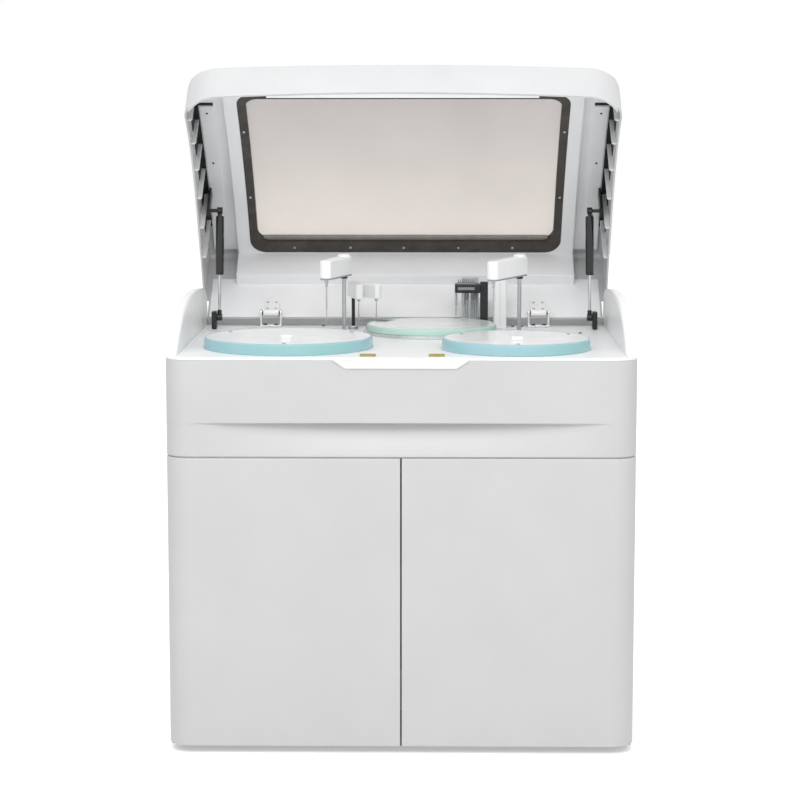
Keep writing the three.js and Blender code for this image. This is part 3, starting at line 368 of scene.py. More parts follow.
for n in range(7):
    blade = block("blade", (0.0165, -0.0125, 0.0130), (0.0545, 0.0125, 0.0142), 0.0005)
    blade.data.transform(Matrix.Rotation(2 * pi * n / 7, 4, "Z") @ Matrix.Translation((0, 0, 0.0136))
        @ Matrix.Rotation(radians(28), 4, "X") @ Matrix.Translation((0, 0, -0.0136)))
    blades.append(blade)
fan = smoothed(joined("rear_fan", housing, hub, *blades))
fan.data.transform(fan_place)
fitted(fan, "cabinet", "cabinet_paint", satin_black)
inlet = block("mains_inlet", (-0.3315, hi.y - 0.022, 0.0865), (-0.3035, hi.y - 0.0006, 0.1075), 0.0018, 3)
cut(inlet, block("recess", (-0.3275, hi.y - 0.016, 0.0905), (-0.3075, hi.y + past, 0.1035), 0.002, 3))
for x, z in ((-0.3230, 0.0955), (-0.3120, 0.0955), (-0.3175, 0.0990)):
    inlet = joined("mains_inlet", inlet,
        block("blade", (x - 0.001, hi.y - 0.018, z), (x + 0.001, hi.y - 0.005, z + 0.0030), 0.0003))
fitted(smoothed(inlet), "cabinet", "cabinet_paint", satin_black)
for n in range(8):
    x = (-0.465, 0.465)[n % 2]
    z = 0.060 + 0.225 * (n // 2)
    hole = through("counterbore", 0.0042, -0.0014, 0.01, 0, 0, 24)
    face = Matrix.Translation((x, hi.y, z)) @ Matrix.Rotation(-pi / 2, 4, "X")
    hole.data.transform(face)
    slots.append(hole)
    screw = cap_screw("rear_screw_%d" % n, (0.0039, 0.0030, 0.0016), (-0.0016, -0.0006, -0.0002, -0.0010))
    screw.data.transform(face)
    fitted(screw, "cabinet", "cabinet_paint", satin_black)
cut(back_sheet, joined("slots", *slots))
fitted(smoothed(back_sheet), "cabinet", "cabinet_paint", cabinet_paint, "rear_panel")

# Front upper panel: one bent sheet with a long scooped grip pressed into its lower half, so
# that fingers reach behind the top edges of the doors. Painted as the side panels.
lo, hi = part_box("front_panel")
front_y, half, panel_top = lo.y, hi.x, hi.z
panel_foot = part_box("left_door")[1].z + 0.003
corner, wrap = 0.050, 0.075


def front_path(stops, steps=14):
    """Stations round the cabinet's front from left to right: x, y and the outward normal."""
    path = [(-half, wrap, -1, 0)]
    for i in range(steps + 1):
        turn = pi + pi / 2 * i / steps
        path.append((corner - half + corner * cos(turn), corner + corner * sin(turn), cos(turn), sin(turn)))
    path += [(x, 0, 0, -1) for x in stops]
    for i in range(steps + 1):
        turn = 1.5 * pi + pi / 2 * i / steps
        path.append((half - corner + corner * cos(turn), corner + corner * sin(turn), cos(turn), sin(turn)))
    return path + [(half, wrap, 1, 0)]


scoop_half, scoop_top, scoop_depth, panel_sheet = 0.430, 0.700, 0.026, 0.003
scoop_roof = ((0.98, -0.0026), (0.90, -0.0006), (0.74, 0.0006), (0.45, 0.0012), (0.10, 0.0014), (0.02, 0.0018))
panel_rings = []
for x, y, nx, ny in front_path([scoop_half * (i - 24) / 24 for i in range(49)]):
    bite = scoop_depth * max(0, 1 - (x / scoop_half) ** 2) * (ny < -0.999)
    outer = [(0.0012, panel_foot), (0.0003, panel_foot + 0.0005), (0.0, panel_foot + 0.0014)]
    for i in range(1, 15):
        up = i / 15
        outer.append((bite * (0.6 * up + 0.4 * up * up * (3 - 2 * up)), panel_foot + 0.0014 + 0.070 * up))
    outer += [(bite * share, scoop_top + up) for share, up in scoop_roof]
    outer += [(0.0, scoop_top + up) for up in (0.0036, 0.006, 0.012)]
    outer += [(0.0, panel_top - 0.0012), (0.0004, panel_top - 0.0004), (0.0012, panel_top)]
    inner = [(panel_sheet, panel_top), (panel_sheet, scoop_top + 0.0060),
        (bite + panel_sheet, scoop_top + 0.0040), (bite + panel_sheet, panel_foot + 0.055),
        (bite * 0.28 + panel_sheet, panel_foot + 0.026), (panel_sheet, panel_foot)]
    panel_rings.append([(x - nx * n, front_y + y - ny * n, z) for n, z in outer + inner])
panel = swept("front_scoop_panel", panel_rings, angle=40)
shelves = []
for sign in (-1, 1):
    shelves.append(side_block("pivot_shelf", sign, (ear_inner, front_y + 0.033, panel_foot),
        (0.4865, front_y + 0.0746, panel_foot + 0.004), 0.0006))
    shelves.append(rod("pivot_pin", pivot_radius, (sign * pivot_x, front_y + 0.045, panel_foot + 0.0035),
        (sign * pivot_x, front_y + 0.045, panel_foot - 0.033)))
panel = smoothed(joined("front_scoop_panel", panel, *shelves), 40)
fitted(panel, "cabinet", "cabinet_paint", cabinet_paint, "front_panel")

# A grey strip set back in the gap under the panel: its grey is painted shade for the gap between the panel and
# the doors.
shade_strip_section = ((0.0017, 0.0002), (0.0017, -0.0026), (0.0075, -0.0026), (0.0075, 0.0002))
shade_strip_rings = []
for x, y, nx, ny in front_path([scoop_half * (i - 6) / 6 for i in range(13)]):
    shade_strip_rings.append([(x - nx * n, front_y + y - ny * n, panel_foot + up) for n, up in shade_strip_section])
painted_gap_shade = finish_of("painted_gap_shade", (150, 151, 153), (166, 167, 169), 0.6, 0.06, 40, grain=1300, relief=0.2)
fitted(swept("panel_foot_shade_strip", shade_strip_rings), "cabinet", "cabinet_paint", painted_gap_shade)

# Doors: a foamed slab with a moulded grey skin that thins to a lip round the cabinet's corner.
# Each hangs on an upper and a lower pin and is drilled for them.
door_skin = finish_of("door_skin", (197, 197, 198), (201, 201, 202), 0.4, 0.04, 5, grain=850, relief=0.06)
for side, sign in (("left", -1), ("right", 1)):
    lo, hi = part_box(side + "_door")
    meet = min(abs(lo.x), abs(hi.x))
    slab, lip, steps = 0.018, 0.004, 16
    centre = half - corner
    plan = [(meet, 0)]
    for i in range(steps + 1):
        turn = -pi / 2 + pi / 2 * i / steps
        plan.append((centre + corner * cos(turn), corner + corner * sin(turn)))
    plan += [(half, wrap), (half - lip, wrap)]
    for i in range(steps, -1, -1):
        turn = -pi / 2 + pi / 2 * i / steps
        if sin(turn) > -0.85:
            plan.append((centre + (corner - lip) * cos(turn), corner + (corner - lip) * sin(turn)))
    plan += [(centre, slab), (meet, slab)]
    door = swept(side + "_door_slab", [[(sign * x, front_y + y, z) for x, y in plan] for z in (lo.z, hi.z)])
    rounded_edges(door, 0.0022, 3, 60)
    blocks = []
    for low, foot, head in ((lo.z, lo.z - 0.01, lo.z + 0.033), (hi.z - 0.030, hi.z - 0.033, hi.z + 0.01)):
        outline = ((0.467, 0.010), (0.4700, 0.0142), (0.4756, 0.0205), (0.4808, 0.0285), (0.4850, 0.0390),
            (0.4872, 0.0510), (0.4872, 0.0565), (0.467, 0.0565))
        pivot = swept("pivot_block", [[(sign * (x - 0.001), front_y + y, z) for x, y in outline]
            for z in (low + 0.0004, low + 0.0296)])
        blocks.append(cut(pivot, through("pin_hole", pivot_radius + 0.0004, foot, head, sign * pivot_x,
            front_y + 0.045, 24)))
    door = joined(door.name, door, *blocks)
    smoothed(door)
    fitted(door, side + "_door", "door_skin", door_skin, side + "_door")
    seal = side_block(side + "_door_seal", sign, (0.0002, front_y + 0.0045, lo.z + 0.001),
        (0.0040, front_y + 0.0130, hi.z - 0.001), 0.0005)
    fitted(seal, side + "_door", "door_skin", foot_rubber)

# Cheeks: arched side walls of white moulding beside the deck, with soft upper edges. They run up
# from the front corner to a low crown and round off about the lid's hinge.
white_plastic = finish_of("white_plastic", (232, 233, 234), (238, 239, 239), 0.34, 0.05, 7, grain=1300,
    relief=0.08)
deck_z = 0.838
hinge_back = 0.650
hinge = Vector((0, front_y + hinge_back, 0.870))
cheek_peak, cheek_start, cheek_crown, cheek_heel = 0.097, 0.035, 0.450, 0.057


def quarter(steps):
    """Angles from 0 to a right angle."""
    return [pi / 2 * i / steps for i in range(steps + 1)]


def shoulder(soft, top, steps):
    """Inset and height at stations up a rounded top edge."""
    return [(soft * (1 - cos(a)), top - soft + soft * sin(a)) for a in quarter(steps)]


def arch(y):
    """Height of the cheek above the deck at a distance back from the front."""
    rise = min(max((y - cheek_start) / (cheek_crown - cheek_start), 0), 1)
    fall = min(max((y - cheek_crown) / (hinge_back - cheek_crown), 0), 1)
    heel = cheek_heel + hinge.z - deck_z
    return cheek_peak * (1 - (1 - rise) ** 2.8) - (cheek_peak - heel) * fall ** 2


for side, sign in (("left", -1), ("right", 1)):
    lo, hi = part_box(side + "_cheek")
    inner = min(abs(lo.x), abs(hi.x))
    stations = [(y, deck_z) for y in (0.0105, 0.013, 0.017, 0.022, 0.028)]
    stations += [(cheek_start + (hinge_back - cheek_start) * (i / 40) ** 1.35, None) for i in range(41)]
    for i in range(1, 15):
        turn = pi / 2 * (1 - i / 14)
        stations.append((hinge_back + cheek_heel * cos(turn), hinge.z + cheek_heel * sin(turn)))
    rings = []
    for y, top in stations:
        top = deck_z + arch(y) if top is None else max(top, lo.z + 0.004)
        outer = half
        if y < corner:
            outer = half - corner + sqrt(max(0, corner ** 2 - (corner - y) ** 2))
        outer = max(outer, inner + 0.002)
        soft = min(0.006, (outer - inner) / 2.2, (top - lo.z) / 1.5)
        ring = [(inner, lo.z)]
        ring += [(inner + inset, z) for inset, z in shoulder(soft, top, 3)]
        ring += [(outer - inset, z) for inset, z in reversed(shoulder(soft, top, 3))]
        ring.append((outer, lo.z))
        rings.append([(sign * x, front_y + y, z) for x, z in ring])
    cheek = swept(side + "_cheek_wall", rings)
    fitted(cheek, "cabinet", "white_plastic", white_plastic, side + "_cheek")

# Deck: one white moulding with a rolled front edge, a latch lip over the panel and a raised
# ledge at the back, with a round hole for each bowl.
lo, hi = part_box("deck_tray")
deck_half = hi.x
deck_foot = panel_top + 0.0003
plan_left = []
for i in range(9):
    turn = pi + pi / 2 * (0.28 + 0.72 * i / 8)
    x = corner - half + corner * cos(turn)
    plan_left.append((max(x, -deck_half), corner + corner * sin(turn)))
roll = 0.0045
rings = []
back, ledge, ledge_top = 0.715, 0.715 - 0.022, deck_z + 0.016
columns = plan_left + [(-x, y) for x, y in reversed(plan_left)]
for x, y in columns:
    ring = [(y, deck_foot), (y, deck_z - roll)]
    ring += [(y + inset, z) for inset, z in shoulder(roll, deck_z, 4)[1:]]
    ring += [(ledge - 0.003, deck_z), (ledge - 0.0008, deck_z + 0.0008), (ledge, deck_z + 0.003),
        (ledge, ledge_top - 0.0015), (ledge + 0.0008, ledge_top - 0.0004), (ledge + 0.002, ledge_top),
        (back - 0.0012, ledge_top), (back, ledge_top - 0.0012), (back, deck_foot)]
    rings.append([(x, front_y + yy, z) for yy, z in ring])
deck = swept("deck_moulding", rings)
discs = {}
for name in ("sample", "reagent", "reaction"):
    lo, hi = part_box(name + "_cover")
    discs[name] = (*middle(lo, hi), (hi.x - lo.x) / 2)
    x, y, radius = discs[name]
    cut(deck, through("hole", radius - 0.0112, deck_foot - past, deck_z + past, x, y, 96))
for node in ("sample_lift_guide", "reagent_lift_guide", "mixer_lift_guide"):
    lo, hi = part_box(node)
    cut(deck, through("hole", 0.0098, deck_foot - past, deck_z + past, (lo.x + hi.x) / 2, lo.y + 0.012))
lo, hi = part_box("mixer_wash_well")
well_x, well_y = middle(lo, hi)
cut(deck, through("hole", 0.0128, deck_foot - past, deck_z + past, well_x, well_y))
smoothed(deck)
fitted(deck, "cabinet", "white_plastic", white_plastic, "deck_tray")
lip_face, lip_half = -0.0025, 0.140
lip_rings = []
for w, y, z in ((lip_half - 0.0015, lip_face + 0.0013, deck_z - 0.0046),
        (lip_half, lip_face, deck_z - 0.0058), (lip_half, lip_face, deck_foot + 0.0002),
        (lip_half, lip_face, deck_foot - 0.0002), (0.1148, lip_face, deck_foot - 0.0164),
        (0.1138, lip_face + 0.0009, deck_foot - 0.017)):
    behind = front_y + (0.0030 if z > deck_foot else -0.0003)
    lip_rings.append([(-w, front_y + y, z), (w, front_y + y, z), (w, behind, z), (-w, behind, z)])
lip = swept("latch_lip", lip_rings)
fitted(lip, "cabinet", "white_plastic", white_plastic)

# Latch pads: two ochre moulded rubber pads, glued in shallow pockets of the deck's front edge.
# The closed lid rests on them.
ochre = finish_of("ochre_pad", (146, 131, 56), (168, 152, 74), 0.5, 0.05, 60, grain=1500, relief=0.2)
for side, x in (("left", -0.0690), ("right", 0.0735)):
    pad = block(side + "_latch_pad", (x - 0.0165, front_y + 0.0225, deck_z - 0.0002),
        (x + 0.0165, front_y + 0.0460, deck_z + 0.0036), 0.0010)
    fitted(pad, "cabinet", "white_plastic", ochre)

# Bowls and drives: each disc turns in a deep bowl that hangs in the deck by its flange. The sample
# and reagent bowls are grey mouldings, the heated reaction bowl is alloy. A round motor sits below.
grey_plastic = finish_of("grey_plastic", (136, 141, 147), (150, 155, 160), 0.55, 0.06, 20, grain=1200,
    relief=0.15)
bead_blasted = finish_of("bead_blasted", (206, 209, 210), (222, 224, 225), 0.42, 0.06, 40, metallic=1.0,
    grain=1400, relief=0.25)
steel = finish_of("brushed_steel", (176, 178, 182), (198, 200, 203), 0.27, 0.06, 40, stretch=(1, 1, 0.05),
    metallic=1.0, grain=900, relief=0.08)
bowl_floor = deck_z - 0.138
for name, (x, y, radius) in discs.items():
    reaction = name == "reaction"
    wall = radius - 0.0115
    flange = radius if reaction else radius - 0.0055
    brim = deck_z + (0.0083 if reaction else 0.0023)
    foot = deck_z + 0.0003
    bowl = turned(name + "_bowl_form", [(0.011, bowl_floor), (wall - 0.006, bowl_floor),
        (wall - 0.0018, bowl_floor + 0.0018), (wall, bowl_floor + 0.006), (wall, foot),
        (flange - 0.0004, foot), (flange, foot + 0.0004), (flange, brim - 0.0008), (flange - 0.0008, brim),
        (wall - 0.0022, brim), (wall - 0.0030, brim - 0.0008), (wall - 0.0030, bowl_floor + 0.009),
        (wall - 0.0042, bowl_floor + 0.0048), (wall - 0.0084, bowl_floor + 0.003),
        (0.011, bowl_floor + 0.003)], x, y, 96)
    fitted(bowl, "cabinet",
        *(("light_alloy", bead_blasted) if reaction else ("grey_plastic", grey_plastic)), name + "_bowl")
    low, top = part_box(name + "_drive")
    motor = turned(name + "_motor", [(0, low.z), (0.0325, low.z), (0.034, low.z + 0.0015),
        (0.034, low.z + 0.014), (0.0325, low.z + 0.0150), (0.0325, top.z - 0.0160), (0.034, top.z - 0.0150),
        (0.034, top.z - 0.0015), (0.0325, top.z), (0.0083, top.z), (0.0083, top.z - 0.040),
        (0, top.z - 0.040)], x, y, 48)
    fitted(motor, "cabinet", "black_metal", satin_black, name + "_drive")

# Rotors: a thick disc on a spindle, drilled round for its tubes or cuvettes, each hole with a
# countersunk mouth. Moulded grey, and steel for the reaction disc.
cuvette_ring = 0.126
needles = {"sample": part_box("sample_probe_needle"), "reagent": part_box("reagent_probe_needle")}
needle_at = {name: middle(a, b) for name, (a, b) in needles.items()}
for name, (x, y, radius) in discs.items():
    reaction = name == "reaction"
    count, hole, ring = {"sample": (20, 0.007, 0.1468), "reagent": (20, 0.007, 0.135),
        "reaction": (24, 0.005, cuvette_ring)}[name]
    low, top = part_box(name + "_rotor")
    face = top.z - 0.0025
    rim = radius - 0.0185
    rotor = turned(name + "_disc", [(0, low.z), (0.007, low.z), (0.008, low.z + 0.001),
        (0.008, face - 0.030), (rim - 0.001, face - 0.030), (rim, face - 0.029), (rim, face - 0.0015),
        (rim - 0.0015, face), (0.0245, face), (0.024, face + 0.0005), (0.024, face + 0.0018),
        (0.0233, face + 0.0025), (0, face + 0.0025)], x, y, 96)
    if reaction:
        first = pi / 2 - radians(45)
    else:
        nx, ny = needle_at[name]
        first = atan2(ny - y, nx - x)
    tools = []
    for i in range(count):
        turn = first + 2 * pi * i / count
        tools.append(turned("bore", [(0, face - 0.035), (hole, face - 0.035), (hole, face - 0.0012),
            (hole + 0.0016, face + 0.0004), (hole + 0.0016, face + 0.004), (0, face + 0.004)],
            x + ring * cos(turn), y + ring * sin(turn), 20))
    cut(rotor, joined("bores", *tools))
    fitted(smoothed(rotor), name + "_rotor",
        *(("steel", steel) if reaction else ("grey_plastic", grey_plastic)), name + "_rotor")


# Disc covers: vacuum-formed clear lids with a tinted rim. The sample and reagent covers lift off by
# a moulded grip and have a hole for the needle; the reaction cover stays on its collar.
def clear_finish(name, dark, light, rough, through, ior=1.49):
    tinted = finish_of(name, dark, light, rough, 0.03, 8, grain=500, relief=0.02)
    socket(tinted, "Transmission Weight", through)
    socket(tinted, "IOR", ior)
    return tinted


cyan_rim = clear_finish("cyan_rim", (164, 216, 214), (180, 218, 232), 0.2, 0.3)
cyan_rim.node_tree.nodes["Noise Texture"].inputs["Scale"].default_value = 3.5
pale_plate = clear_finish("pale_plate", (238, 238, 239), (245, 246, 246), 0.24, 0.06)
green_plate = clear_finish("green_plate", (238, 245, 242), (245, 250, 248), 0.18, 0.12)
green_rim = clear_finish("green_rim", (190, 224, 212), (208, 233, 223), 0.18, 0.25)
thin, access, cover_rise = 0.0025, 0.008, 0.0237
for name in ("sample", "reagent"):
    x, y, radius = discs[name]
    low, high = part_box(name + "_cover")
    top = low.z + cover_rise
    rim = turned(name + "_cover_rim", [(radius - thin, low.z), (radius - 0.0006, low.z),
        (radius, low.z + 0.0006), (radius, low.z + 0.0030), (radius - 0.0008, low.z + 0.0036),
        (radius - 0.0016, top - 0.0050), (radius - 0.0030, top - 0.0016), (radius - 0.0058, top),
        (radius - 0.0060, top - thin), (radius - 0.0046, top - 0.0046), (radius - 0.0041, top - 0.0080),
        (radius - 0.0032, low.z + 0.0040)], x, y, 120)
    fitted(rim, name + "_cover", "cyan_cover", cyan_rim, name + "_cover")
    plate = turned(name + "_cover_plate", [(0, top), (radius - 0.032, top), (radius - 0.030, top - 0.0006),
        (radius - 0.0061, top - 0.0006), (radius - 0.0061, top - thin), (radius - 0.030, top - thin),
        (0, top - thin)], x, y, 120)
    nx, ny = needle_at[name]
    cut(plate, through("needle_hole", access, top - past, top + past, nx, ny))
    fitted(smoothed(plate), name + "_cover", "cyan_cover", pale_plate)
    grip = block(name + "_cover_grip", (x - 0.012, y - 0.074, top - 0.0002),
        (x + 0.012, y - 0.062, top + 0.0089), 0.0028, 4)
    fitted(grip, name + "_cover", "cyan_cover", white_plastic)
    for n, (dx, dy) in enumerate(((-0.72, 0.42), (0.72, 0.42), (0.0, -0.86))):
        stud = turned("%s_cover_stud_%d" % (name, n),
            [(0, top - 0.0008), (0.0042, top - 0.0008), (0.0042, top + 0.0002), (0.0034, top + 0.0012),
            (0, top + 0.0015)], x + radius * dx, y + radius * dy, 20)
        fitted(stud, name + "_cover", "cyan_cover", grey_plastic)
x, y, radius = discs["reaction"]
low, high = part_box("reaction_cover")
top = high.z
rim = turned("reaction_cover_rim", [(radius - thin, low.z), (radius - 0.0006, low.z),
    (radius, low.z + 0.0006), (radius - 0.0004, top - 0.0046), (radius - 0.0020, top - 0.0014),
    (radius - 0.0052, top), (radius - 0.0054, top - thin), (radius - 0.0040, top - 0.0044),
    (radius - 0.0030, top - 0.0070)], x, y, 120)
fitted(rim, "cabinet", "green_cover", green_rim, "reaction_cover")
plate = turned("reaction_cover_plate", [(0, top), (radius - 0.040, top), (radius - 0.0385, top - 0.0008),
    (radius - 0.0055, top - 0.0008), (radius - 0.0055, top - thin), (0, top - thin)], x, y, 120)
low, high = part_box("mixer_lift_guide")
mixer_x, mixer_y = (low.x + high.x) / 2, low.y + 0.012


def polar(x, y, reach, turn):
    """A point at a reach from x, y, its turn in degrees counted from the rear."""
    return x + reach * sin(radians(turn)), y + reach * cos(radians(turn))


mixer_reach = 0.082
paddles = [polar(mixer_x, mixer_y, mixer_reach, 360 - turn) for turn in (190.6, 221.8)]
nozzles = [polar(x, y, cuvette_ring, turn) for turn in (45, 36, 27)]
for hx, hy in [paddles[1]] + nozzles:
    cut(plate, through("access", access, top - past, top + past, hx, hy))
fitted(smoothed(plate), "cabinet", "green_cover", green_plate)
# A dark oval plate laid in the reaction cover: painted shade for the dark seen through an opening there.
port = turned("reaction_port", [(0, -0.0006), (0.0225, -0.0006), (0.0225, 0.0004), (0.0212, 0.0008),
    (0.0196, 0.0008), (0.0190, 0.0003), (0, 0.0003)], 0, 0, 48)
port.data.transform(Matrix.Translation((x - 0.098, y + 0.062, top - 0.0009))
    @ Matrix.Diagonal((1.35, 0.9, 1, 1)))
port_shade = finish_of("port_painted_shade", (84, 96, 104), (104, 116, 124), 0.5, 0.06, 40, grain=1300, relief=0.2)
fitted(port, "cabinet", "green_cover", port_shade)

# Lift guides and carriages: a bush through the deck on a bridge, whose rail the probe's carriage
# climbs. The bush is turned steel, the carriage a machined alloy block with a clamp screw.
column_at = {}
for name in ("sample", "reagent", "mixer"):
    low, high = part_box(name + "_lift_guide")
    x, y = (low.x + high.x) / 2, low.y + 0.012
    column_at[name] = (x, y)
    bore, brim = 0.0049, deck_z + 0.008
    bush = turned(name + "_bush", [(bore, panel_top - 0.0077), (0.0095, panel_top - 0.0077),
        (0.0095, deck_z + 0.0003), (0.0116, deck_z + 0.0003), (0.012, deck_z + 0.0007),
        (0.012, brim - 0.0026), (0.0114, brim - 0.0012), (0.0100, brim), (0.0062, brim),
        (bore, brim - 0.0014)], x, y, 48)
    fitted(bush, "cabinet", "steel", steel, name + "_lift_guide")
    rail_y = y + 0.030
    bridge = block(name + "_bridge", (x - 0.0095, y - 0.0005, panel_top - 0.0157),
        (x + 0.0095, y + 0.036, panel_top - 0.0079), 0.0012)
    cut(bridge, through("bore", bore, 0.8, 0.84, x, y))
    fitted(smoothed(bridge), "cabinet", "steel", steel)
    rail = rod(name + "_rail", 0.006, (x, rail_y, low.z), (x, rail_y, panel_top - 0.009), 32)
    fitted(rail, "cabinet", "steel", steel)
    low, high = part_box(name + "_lift_carriage")
    carriage = block(name + "_carriage", low, high, 0.0014)
    cut(carriage, through("bore", 0.0064, low.z - past, high.z + past, x, rail_y))
    cut(carriage, through("bore", bore, 0.7398, high.z + past, x, y))
    screw = rod(name + "_clamp_screw", 0.0032, (low.x, y, high.z - 0.010),
        (low.x + 0.002, y, high.z - 0.010), 24, 0.0004)
    fitted(smoothed(carriage), name + "_carriage", "light_alloy", bead_blasted, name + "_lift_carriage")
    fitted(screw, name + "_carriage", "steel", satin_black)


# Probes: a white moulded arm on a steel column carries the needle over its disc. The arm is a
# cover with soft top edges on a thin grey base plate, and a low dome caps the column.
def stadium(x, y, tip_x, tip_y, hub, tip, z, steps=14):
    """The outline round two circles, from above."""
    turn = atan2(tip_y - y, tip_x - x)
    ring = []
    for cx, cy, r, a0, a1 in ((x, y, hub, pi / 2, 3 * pi / 2), (tip_x, tip_y, tip, -pi / 3, pi / 3)):
        for i in range(steps + 1):
            a = turn + a0 + (a1 - a0) * i / steps
            ring.append((cx + r * cos(a), cy + r * sin(a), z))
    return ring


def arm_cover(name, x, y, tip_x, tip_y, hub, tip, foot, top, soft):
    """An arm from x, y to its tip, with a soft top edge."""
    levels = [(0.0008, foot), (0.0, foot + 0.0008)]
    levels += shoulder(soft, top, 4)
    return swept(name, [stadium(x, y, tip_x, tip_y, hub - inset, tip - inset, z) for inset, z in levels])


arm_rise, needle_rise = 0.134, 0.038
for name in ("sample", "reagent"):
    x, y = column_at[name]
    tip_x, tip_y = needle_at[name]
    low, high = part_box(name + "_probe_arm")
    foot, top = deck_z + arm_rise, deck_z + arm_rise + 0.043
    base = arm_cover(name + "_arm_base", x, y, tip_x, tip_y, 0.0172, 0.0142, foot, foot + 0.0040, 0.0008)
    fitted(base, name + "_probe", "white_plastic", grey_plastic, name + "_probe_arm")
    cover = arm_cover(name + "_arm_cover", x, y, tip_x, tip_y, 0.018, 0.015, foot + 0.0036, top, 0.0048)
    fitted(cover, name + "_probe", "white_plastic", white_plastic)
    cap = turned(name + "_arm_cap", [(0, top - 0.0004), (0.0150, top - 0.0004), (0.0150, top + 0.0012),
        (0.0136, top + 0.0034), (0.0104, top + 0.0050), (0.0056, top + 0.0058), (0, top + 0.006)], x, y, 48)
    fitted(cap, name + "_probe", "white_plastic", white_plastic)
    column = rod(name + "_column", 0.0045, (x, y, low.z), (x, y, foot + 0.001), 32)
    fitted(column, name + "_probe", "steel", steel)
    collar = turned(name + "_collar", [(0.0046, foot - 0.007), (0.0072, foot - 0.007),
        (0.0078, foot - 0.0064), (0.0078, foot - 0.0001), (0.0046, foot - 0.0001)], x, y, 32)
    fitted(collar, name + "_probe", "steel", satin_black)
    point = deck_z + needle_rise
    needle = turned(name + "_needle", [(0, point), (0.0005, point), (0.0009, point + 0.003),
        (0.0009, point + 0.030), (0.0015, point + 0.032), (0.0015, foot - 0.016), (0.0030, foot - 0.0155),
        (0.0030, foot - 0.0072), (0.0040, foot - 0.0068), (0.0040, foot - 0.0008), (0.0036, foot - 0.0003),
        (0, foot - 0.0003)], tip_x, tip_y, 24)
    fitted(needle, name + "_probe", "steel", steel, name + "_probe_needle")

# Deck screws: small cap screws of blackened steel beside the tube cover, behind the mixer and at
# the sides. They hold the deck moulding down.
for n, (x, y) in enumerate(((0.252, 0.650), (0.272, 0.650), (-0.190, 0.655), (-0.030, 0.668),
        (0.400, 0.500), (-0.400, 0.470))):
    screw = cap_screw("deck_screw_%d" % n, (0.0038, 0.0032, 0.0018), (-0.0002, 0.0012, 0.0020, 0.0010), x,
        front_y + y)
    screw.data.transform(Matrix.Translation((0, 0, deck_z)))
    fitted(screw, "cabinet", "white_plastic", satin_black)

# Mixer: two small white moulded lobes on one black column, each over a turned steel rod with a
# flat stirring blade pressed in.
x, y = column_at["mixer"]
foot, top, tip = deck_z + 0.076, deck_z + 0.110, deck_z + 0.028
for n, (px, py) in enumerate(paddles):
    lobe = arm_cover("mixer_lobe_%d" % n, x, y, px, py, 0.0135 - 0.0002 * n, 0.011, foot + 0.0002 * n,
        top - 0.0004 * n, 0.0050)
    fitted(lobe, "mixer", "white_plastic", white_plastic, *(() if n else ("mixer_arm",)))
    stem = turned("mixer_stem_%d" % n, [(0, tip + 0.012), (0.0010, tip + 0.012), (0.0012, tip + 0.0125),
        (0.0012, foot - 0.006), (0.0034, foot - 0.0055), (0.0040, foot - 0.0040), (0.0040, foot + 0.001),
        (0, foot + 0.001)], px, py, 24)
    blade = block("mixer_blade_%d" % n, (px - 0.0019, py - 0.0005, tip),
        (px + 0.0019, py + 0.0005, tip + 0.0135), 0.0003)
    fitted(joined("mixer_paddle_%d" % n, stem, blade), "mixer", "steel", steel)
column = rod("mixer_column", 0.004, (x, y, deck_z - 0.098), (x, y, foot + 0.001), 32)
fitted(column, "mixer", "black_metal", satin_black)

# Mixer wash well: a small white moulded cup that hangs in the deck by its flange, with a drain at
# the bottom.
low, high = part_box("mixer_wash_well")
well = turned("wash_well", [(0.004, low.z), (0.0110, low.z), (0.0125, low.z + 0.0015),
    (0.0125, deck_z + 0.0003), (0.0146, deck_z + 0.0003), (0.015, deck_z + 0.0007),
    (0.015, high.z - 0.0008), (0.0142, high.z), (0.0110, high.z), (0.0102, high.z - 0.0010),
    (0.0100, low.z + 0.006), (0.0080, low.z + 0.0030), (0.004, low.z + 0.0025)], well_x, well_y, 48)
fitted(well, "cabinet", "grey_plastic", white_plastic, "mixer_wash_well")

# Wash station: a black head with three nozzles slides on a square black column. Behind it stand a
# comb of grey tubes and a white tube cover.
low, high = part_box("wash_column")
column = block("wash_post", low, high, 0.0014)
fitted(column, "cabinet", "black_metal", satin_black, "wash_column")
low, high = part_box("wash_head")
head_foot = deck_z + 0.084
head = block("wash_carrier", (low.x, low.y, head_foot), (high.x, high.y, high.z - 0.009), 0.0022, 3)
inset_left, inset_right = low.x + 0.006, high.x - 0.012
inset_foot, inset_top = head_foot + 0.006, high.z - 0.0145
cut(head, block("recess", (inset_left, low.y - 0.005, inset_foot), (inset_right, low.y + 0.004, inset_top),
    0.0012))
inlay = block("wash_carrier_inset", (inset_left + 0.0005, low.y + 0.0028, inset_foot + 0.0005),
    (inset_right - 0.0005, low.y + 0.0042, inset_top - 0.0005), 0.0004)
fitted(inlay, "wash_head", "black_metal", grey_plastic)
smoothed(head)
fitted(head, "wash_head", "black_metal", satin_black, "wash_head")
fins = [block("fin_foot", (low.x + 0.006, low.y + 0.003, high.z - 0.0092),
    (low.x + 0.048, high.y - 0.004, high.z - 0.0066), 0.0005)]
for i in range(9):
    x = low.x + 0.0068 + 0.0047 * i
    fins.append(block("fin", (x, low.y + 0.004, high.z - 0.0070), (x + 0.0022, high.y - 0.005, high.z),
        0.0004))
fitted(smoothed(joined("wash_carrier_fins", *fins)), "wash_head", "grey_plastic", grey_plastic)
guide = block("wash_slide", (high.x - 0.006, low.y + 0.010, head_foot + 0.002),
    (high.x + 0.0002, high.y - 0.002, head_foot + 0.017), 0.0008)
fitted(guide, "wash_head", "black_metal", steel)
